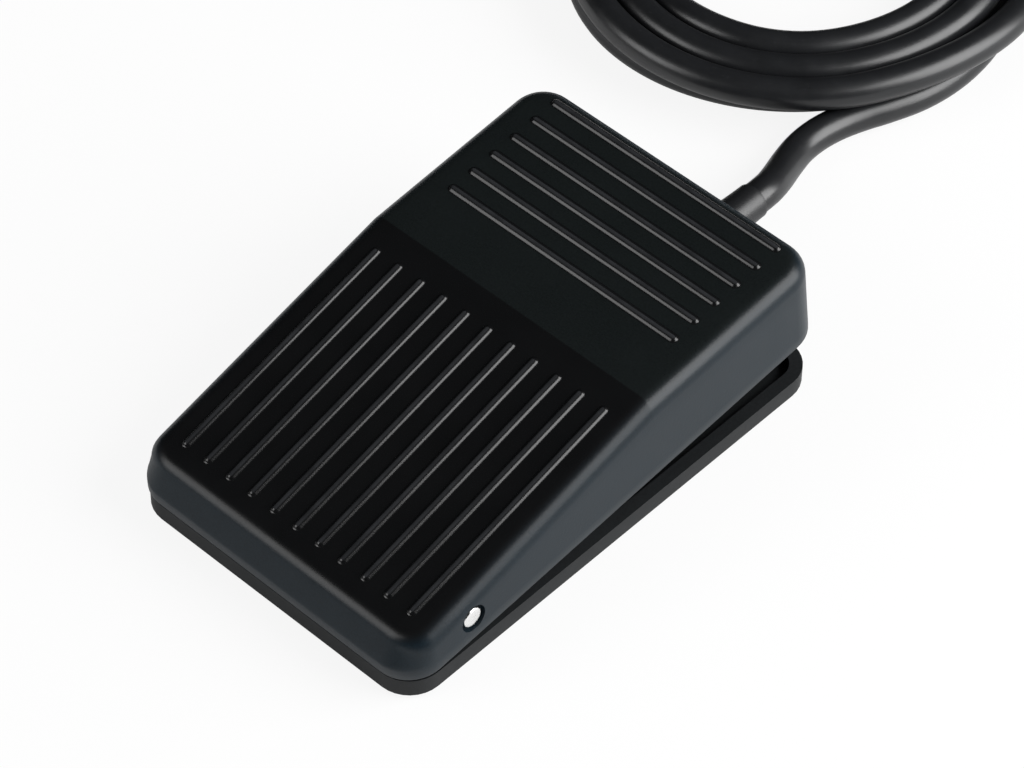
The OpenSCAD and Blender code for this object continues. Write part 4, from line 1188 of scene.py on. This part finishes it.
def stranded(line, radius, wires=7, lay=0.009):
    """Bunched copper: wires laid round each other along a line, each a thin tube on a helix that
    turns once in one lay."""
    s = lengths_along(line)
    _, side, up = frame_of(line, (0, 0, 1))
    wire = radius / 3
    shells = [tube(line, wire, 6, rounded=wire * 0.6)]
    for k in range(wires - 1):
        a = (2 * np.pi * (s / lay + k / (wires - 1)))[:, None]
        spread_out = 1 + 0.35 * ease(s, s[-1] * 0.5, s[-1] * 1.4)[:, None]
        shells.append(tube(line + 2 * wire * spread_out * (np.cos(a) * side + np.sin(a) * up), wire,
                           6, rounded=wire * 0.6))
    return shells


def make_lead():
    lead = settings().lead
    points = lead_line()
    line = evenly(through(points, 12), 0.0016)
    jacket = piece("lead_jacket", [tube(line, lead.diameter / 2, 20)], material_for("cord_jacket"),
                   "base", ["cord_lead", "cord_coil", "cord_tail"])
    others = []
    for i, colour in enumerate(("black", "brown", "blue")):
        core = tube(core_line(i, -0.0008, lead.core_tail, line), lead.core / 2, 14, rounded=0.0002)
        others.append(piece("tail_core_" + colour, [core], material_for("core_" + colour), "base",
                            ["tail_cores"] if i == 0 else ()))
        copper = core_line(i, lead.core_tail - 0.0005, lead.core_tail + lead.strand_tail, line)
        others.append(piece("tail_copper_" + colour, stranded(evenly(copper, 0.0003), lead.strand / 2),
                            material_for("copper"), "base",
                            ["tail_strands"] if i == 0 else ()))
    others += [make_tie(), make_relief()]


def make_tie():
    """A strap round the coil: its section, a flat oval, is carried round a rounded rectangle that
    hugs the turns, and its head is a small block on the outside."""
    lead = settings().lead
    d, r = lead.diameter, lead.diameter / 2 + 0.00005
    low, high = (lead.coil_radius - d - r, TIE_T), (lead.coil_radius + d + r, TIE_T + 2 * d + 0.0001)
    t, w = TIE_T, TIE_W
    path = np.vstack([arc((high[0] - r, low[1] + r), r, -90, 0, 9),
                      arc((high[0] - r, high[1] - r), r, 0, 90, 9),
                      arc((low[0] + r, high[1] - r), r, 90, 180, 9),
                      arc((low[0] + r, low[1] + r), r, 180, 270, 9)])
    ahead = np.roll(path, -1, 0) - np.roll(path, 1, 0)
    ahead /= np.linalg.norm(ahead, axis=1)[:, None]
    out = np.stack([ahead[:, 1], -ahead[:, 0]], -1)
    section = rounded_box((0.00002, -w / 2), (t - 0.00002, w / 2), 0.0003)
    flat = path[:, None] + section[None, :, :1] * out[:, None]
    rings = np.concatenate([flat[..., :1], np.broadcast_to(section[None, :, 1:], flat[..., :1].shape),
                            flat[..., 1:]], -1)
    head = rounded_box((high[0] + 0.0002, TIE_T + 0.0045), (high[0] + t + 0.0026, TIE_T + 0.0095),
                       0.0005)
    block = bar(head, -w / 2 - 0.0004, w / 2 + 0.0004, "y")
    shells = [skin(rings, closed=True), block]
    a = math.radians(TIE_ANGLE)
    for s in shells:
        s.points = s.points @ np.array(Matrix.Rotation(a, 3, "Z")).T
        s.points = s.points + np.array([lead.coil_x, lead.coil_y, 0])
    return piece("coil_strap", shells, material_for("tie_plastic"), "base",
                 ["coil_tie"])


def make_relief():
    """The strain relief: a flange, a neck and a taper turned round the lead, with cuts from above
    and below and from the sides in turn. In a cut the radius is the least of the taper and
    flat / |cos|, so that the cut's floor is flat."""
    lead = settings().lead
    low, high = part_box("strain_relief")
    inner, end = low.y, high.y
    outside = end - lead.sleeve
    bore = lead.diameter / 2 + 0.00002
    collar, rings, flange = 0.0024, 5, (high.x - low.x) / 2
    tip = lead.diameter / 2 + 0.0003
    neck = lead.diameter / 2 + 0.0012
    pitch = (lead.sleeve - collar - 0.0003) / rings
    starts = outside + collar + 0.0003 + pitch * np.arange(rings)
    wide = 0.4 * pitch
    soft = 0.00018
    y = np.unique(np.concatenate([np.linspace(outside + collar, end - 0.0003, 30)]
                                 + [s + np.array([-soft, -soft / 2, 0, soft / 2]) for s in starts]
                                 + [s + wide + np.array([-soft / 2, 0, soft / 2, soft])
                                    for s in starts]))
    y = y[y <= end - 0.0003]
    radius = tip + (flange - tip) * (1 - (y - outside - collar) / (lead.sleeve - collar)) ** 2
    inside_cut = np.zeros((len(y), 2))
    for i, s in enumerate(starts):
        inside_cut[:, i % 2] += ease(y, s - soft, s + soft / 2) * (1 - ease(y, s + wide - soft / 2,
                                                                           s + wide + soft))
    n = 64
    c, s = circle_points(n)
    floor = lead.diameter / 2 + 0.0006
    flat = [np.minimum(radius[:, None], floor / np.maximum(np.abs(k), 1e-6)) for k in (s, c)]
    r = radius[:, None] - sum(inside_cut[:, k:k + 1] * (radius[:, None] - flat[k]) for k in (0, 1))
    taper = np.stack([r * c, np.broadcast_to(y[:, None], r.shape), r * s], -1)
    e = 0.0004
    head = turned([(bore, inner), (flange - e, inner), (flange, inner + e), (flange, inner + 0.0016),
                   (neck, inner + 0.0016), (neck, outside), (flange - 0.0005, outside),
                   (flange, outside + 0.0005), (flange, outside + collar - 0.0004)], (0, 0, lead.gland_height),
                  "y", n)
    foot = turned([(tip - 0.00005, end - 0.0001), (tip - 0.0002, end), (bore, end),
                   (bore, (inner + end) / 2)], (0, 0, lead.gland_height), "y", n)
    taper[..., 2] += lead.gland_height
    return piece("strain_relief_sleeve", [skin(np.concatenate([head, taper, foot]), closed=True)],
                 material_for("cord_rubber"), "base", ["strain_relief"], sharp=35)


CORES = {
    "brown": [(-1.195, 39.95, 6.51), (-1.495, 38.75, 6.41), (-3.395, 36.9, 5.11),
              (-6.395, 35.1, 4.05), (-8.775, 32.1, 4.05), (-9.175, 27.5, 4.05),
              (-9.175, 12.2, 4.05), (-8.975, 5.2, 4.25), (-7.775, 0.6, 5.6), (-5.6, -1.7, 8.1),
              (-2.6, -1.3, 8.95), (-0.4, 0.1, 8.95)],
    "blue": [(0, 39.95, 8.58), (0, 38.75, 8.88), (0, 37.56, 10.65), (0, 36.1, 10.95),
             (0, 34.0, 10.95)],
    "black": [(1.195, 39.95, 6.51), (1.395, 38.75, 6.61), (2.895, 37.5, 7.71), (4.095, 36.4, 10.11),
              (4.195, 35.8, 12.71), (3.495, 35.4, 14.55), (1.695, 34.8, 15.15), (0, 33.9, 15.05)],
}


def make_inner_lead():
    """The lead inside the base, a straight sheath, and the three cores that go from it to the tabs
    of the switch."""
    lead = settings().lead
    low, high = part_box("cord_sheath")
    y = np.linspace(low.y, high.y, 41)
    line = np.stack([np.zeros(41), y, np.full(41, lead.gland_height)], -1)
    piece("lead_inside", [tube(line, lead.diameter / 2 - 0.00002, 28, rounded=0.00025)],
          material_for("cord_jacket"), "base", ["cord_sheath"])
    for colour, points in CORES.items():
        line = evenly(through(np.array(points) * 0.001, 10), 0.0004)
        piece("core_inside_" + colour, [tube(line, lead.core / 2, 14, (1, 0, 0.02), 0.0002)],
              material_for("core_" + colour), "base", ["core_" + colour])


# ---------------------------------------------------------------- snap switch and fixings

CAD_FINISHES = {
    "switch_case": "case_plastic", "switch_cover": "cover_plastic",
    "switch_plunger": "plunger_plastic", "switch_lever": "lever_steel", "lever_pin": "pin_steel",
    "terminal_com": "brass", "terminal_no": "brass", "terminal_nc": "brass",
    "contact_blade": "contact_bronze", "switch_screws": "screw_steel", "switch_nuts": "screw_steel",
    "cable_clamp": "case_plastic", "clamp_screws": "screw_steel", "solder_joints": "solder",
}


def finish_switch():
    for node, slot in CAD_FINISHES.items():
        obj = NODES[node]
        obj.data.materials.clear()
        obj.data.materials.append(material_for(slot))


# ---------------------------------------------------------------- studio

def make_camera():
    """Places the camera on a sphere round its aim: the direction to it is (cos e sin a,
    -cos e cos a, sin e), and its own right and up are turned by the roll."""
    s = settings().studio
    a, e = s.azimuth, s.elevation
    back = np.array([math.cos(e) * math.sin(a), -math.cos(e) * math.cos(a), math.sin(e)])
    right = np.array([math.cos(a), math.sin(a), 0])
    up = np.cross(back, right)
    c, k = math.cos(s.roll), math.sin(s.roll)
    right, up = c * right + k * up, c * up - k * right
    data = bpy.data.cameras.new("camera")
    data.lens, data.sensor_width = s.lens, 36
    data.clip_start, data.clip_end = 0.01, 50
    obj = bpy.data.objects.new("camera", data)
    bpy.context.scene.collection.objects.link(obj)
    place = np.array(s.aim) + back * s.distance
    obj.matrix_world = Matrix([[*row, at] for row, at in zip(np.stack([right, up, back], 1), place)]
                              + [[0, 0, 0, 1]])
    bpy.context.scene.camera = obj


def lamp(name, direction, reach, size, power, aim=(0, 0, 0.015)):
    """A soft box in a direction from the object, turned to face it."""
    data = bpy.data.lights.new(name, "AREA")
    data.shape, data.size, data.size_y, data.energy = "RECTANGLE", *size, power
    obj = bpy.data.objects.new(name, data)
    bpy.context.scene.collection.objects.link(obj)
    way = Vector(direction).normalized()
    obj.location = Vector(aim) + way * reach
    obj.rotation_mode = "QUATERNION"
    obj.rotation_quaternion = way.to_track_quat("Z", "Y")
    return obj


def make_studio():
    s = settings().studio
    floor = disc("floor", 4.0)
    material, r = finish("pale_floor")
    path = [r.node("LightPath", out=k) for k in ("Is Camera Ray", "Is Glossy Ray",
                                                 "Is Transmission Ray")]
    where = r.place()
    tone = r.mix(r.noise(where, 0.2, 2.0), times(settings().finish.floor, 0.98),
                 settings().finish.floor)
    matt = r.node("BsdfDiffuse", sockets={"Color": tone})
    white = r.node("Emission", sockets={"Color": (1, 1, 1, 1), "Strength": 1.0})
    direct = path[0] * 0.88 + path[1] * 0.15 + path[2] * 0.88
    both = r.node("MixShader", sockets={0: direct, 1: matt, 2: white})
    r.node("OutputMaterial", sockets={"Surface": both})
    floor.data.materials.append(material)

    world = bpy.data.worlds.new("surroundings")
    bpy.context.scene.world = world
    r = Recipe(world)
    path = [r.node("LightPath", out=k) for k in ("Is Camera Ray", "Is Glossy Ray",
                                                 "Is Transmission Ray")]
    seen = r.maths("MINIMUM", path[0] + path[1] + path[2], 1.0)
    back = r.node("Background", sockets={"Color": (1, 1, 1, 1),
                                         "Strength": s.sky + seen * (1 - s.sky)})
    r.node("OutputWorld", sockets={"Surface": back})

    lamp("key_light", (0.74, 0.50, 0.50), 0.9, (0.8, 0.75), s.key)
    lamp("fill_light", (-0.46, -0.74, 0.49), 0.9, (0.5, 0.5), s.fill)
    flag()
    bpy.context.scene.view_settings.view_transform = "Standard"


def disc(name, radius):
    """A flat round floor at z = 0: rings of one centre."""
    r = np.array([0.002, 0.1, 0.4, 1.0, radius])
    a = np.radians(np.arange(0, 360, 7.5))
    rings = np.stack([r[:, None] * np.cos(a), r[:, None] * np.sin(a),
                      np.full((len(r), len(a)), -0.00002)], -1)
    quads = lattice(*rings.shape[:2], False, True)
    n = len(a)
    k = np.arange(n)
    points = np.vstack([rings.reshape(-1, 3), [(0, 0, -0.00002)]])
    tris = np.stack([np.full(n, len(points) - 1), k, (k + 1) % n], -1)
    mesh = to_mesh(name, Shell(points, quads[:, ::-1], tris))
    obj = bpy.data.objects.new(name, mesh)
    bpy.context.scene.collection.objects.link(obj)
    return obj


def flag():
    """A black tent over the set, which only reflections see."""
    azimuth = np.radians(np.linspace(0, 360, 60))[:, None]
    height = np.radians(np.linspace(0, 90, 24))[None, :]
    reach = 1.3
    points = np.stack([reach * np.cos(azimuth) * np.cos(height), reach * np.sin(azimuth) * np.cos(height),
                       reach * np.sin(height) * np.ones_like(azimuth)], -1)
    mesh = to_mesh("black_flag", Shell(points, lattice(60, 24)))
    obj = bpy.data.objects.new("black_flag", mesh)
    bpy.context.scene.collection.objects.link(obj)
    material, r = finish("black_cloth")
    weave = r.noise(r.place(), 0.004, 2.0)
    r.surface({"Base Color": r.mix(weave, (0.0, 0.0, 0.0), (0.004, 0.004, 0.004)), "Roughness": 1.0,
               "Specular IOR Level": 0.0})
    mesh.materials.append(material)
    obj.visible_camera = obj.visible_diffuse = obj.visible_shadow = False
    obj.visible_transmission = False


# ---------------------------------------------------------------- the add-on

class MakeStep(bpy.types.Operator):
    """One step of the model."""
    bl_options = {"REGISTER", "UNDO"}
    steps = ()

    def execute(self, context):
        for step in self.steps:
            step()
        return {"FINISHED"}


class PlaceCamera(bpy.types.Operator):
    """Place the camera"""
    bl_idname, bl_label = "foot_switch.camera", "Place Camera"

    def execute(self, context):
        make_camera()
        return {"FINISHED"}


class MakeLead(bpy.types.Operator):
    """Make the lead with its strain relief, coil, strap and bared end"""
    bl_idname, bl_label = "foot_switch.lead", "Make Lead"

    def execute(self, context):
        make_lead()
        return {"FINISHED"}


class MakeInnerLead(bpy.types.Operator):
    """Make the sheath and the cores inside the base"""
    bl_idname, bl_label = "foot_switch.inner_lead", "Make Inner Lead"

    def execute(self, context):
        make_inner_lead()
        return {"FINISHED"}


class MakePedal(bpy.types.Operator):
    """Make the pedal shell"""
    bl_idname, bl_label = "foot_switch.pedal", "Make Pedal"

    def execute(self, context):
        make_pedal()
        return {"FINISHED"}


class MakeRibs(bpy.types.Operator):
    """Make the ribs of the tread"""
    bl_idname, bl_label = "foot_switch.ribs", "Make Ribs"

    def execute(self, context):
        make_ribs()
        return {"FINISHED"}


class MakeUnderPedal(bpy.types.Operator):
    """Make the bosses, webs, pegs and nub under the tread"""
    bl_idname, bl_label = "foot_switch.under_pedal", "Make Pedal Underside"

    def execute(self, context):
        make_under_pedal()
        return {"FINISHED"}


class MakeBase(bpy.types.Operator):
    """Make the base"""
    bl_idname, bl_label = "foot_switch.base", "Make Base"

    def execute(self, context):
        make_base()
        return {"FINISHED"}


class MakePin(bpy.types.Operator):
    """Make the hinge pin"""
    bl_idname, bl_label = "foot_switch.pin", "Make Hinge Pin"

    def execute(self, context):
        make_pin()
        return {"FINISHED"}


class MakeFeet(bpy.types.Operator):
    """Make the rubber feet"""
    bl_idname, bl_label = "foot_switch.feet", "Make Feet"

    def execute(self, context):
        make_feet()
        return {"FINISHED"}


class MakeSprings(bpy.types.Operator):
    """Make the return springs"""
    bl_idname, bl_label = "foot_switch.springs", "Make Springs"

    def execute(self, context):
        make_springs()
        return {"FINISHED"}


class FinishSwitch(bpy.types.Operator):
    """Give the snap switch, its fixings and the clamp their finishes"""
    bl_idname, bl_label = "foot_switch.switch", "Finish Switch"

    def execute(self, context):
        finish_switch()
        return {"FINISHED"}


class MakeStudio(bpy.types.Operator):
    """Make the floor, the surroundings and the lights"""
    bl_idname, bl_label = "foot_switch.studio", "Make Studio"

    def execute(self, context):
        make_studio()
        return {"FINISHED"}


STEPS = (PlaceCamera, MakeLead, MakeInnerLead, MakePedal, MakeRibs, MakeUnderPedal, MakeBase,
         MakePin, MakeFeet, MakeSprings, FinishSwitch, MakeStudio)


class FootSwitchPanel(bpy.types.Panel):
    """Lists the settings and the steps in the sidebar"""
    bl_idname, bl_label = "VIEW3D_PT_foot_switch", "Foot Switch"
    bl_space_type, bl_region_type, bl_category = "VIEW_3D", "UI", "Foot Switch"

    def draw(self, context):
        for group in SETTINGS:
            box = self.layout.box()
            box.label(text=group.title())
            part = getattr(context.scene.foot_switch, group)
            for name in part.bl_rna.properties.keys():
                if name not in ("rna_type", "name"):
                    box.prop(part, name)
        for step in STEPS:
            self.layout.operator(step.bl_idname)


CLASSES = (*SETTINGS.values(), FootSwitchSettings, *STEPS, FootSwitchPanel)


def register():
    for item in CLASSES:
        bpy.utils.register_class(item)
    bpy.types.Scene.foot_switch = PointerProperty(type=FootSwitchSettings)


def unregister():
    del bpy.types.Scene.foot_switch
    for item in reversed(CLASSES):
        bpy.utils.unregister_class(item)


def main():
    register()
    for step in STEPS:
        group, name = step.bl_idname.split(".")
        getattr(getattr(bpy.ops, group), name)()


if __name__ == "__main__":
    main()
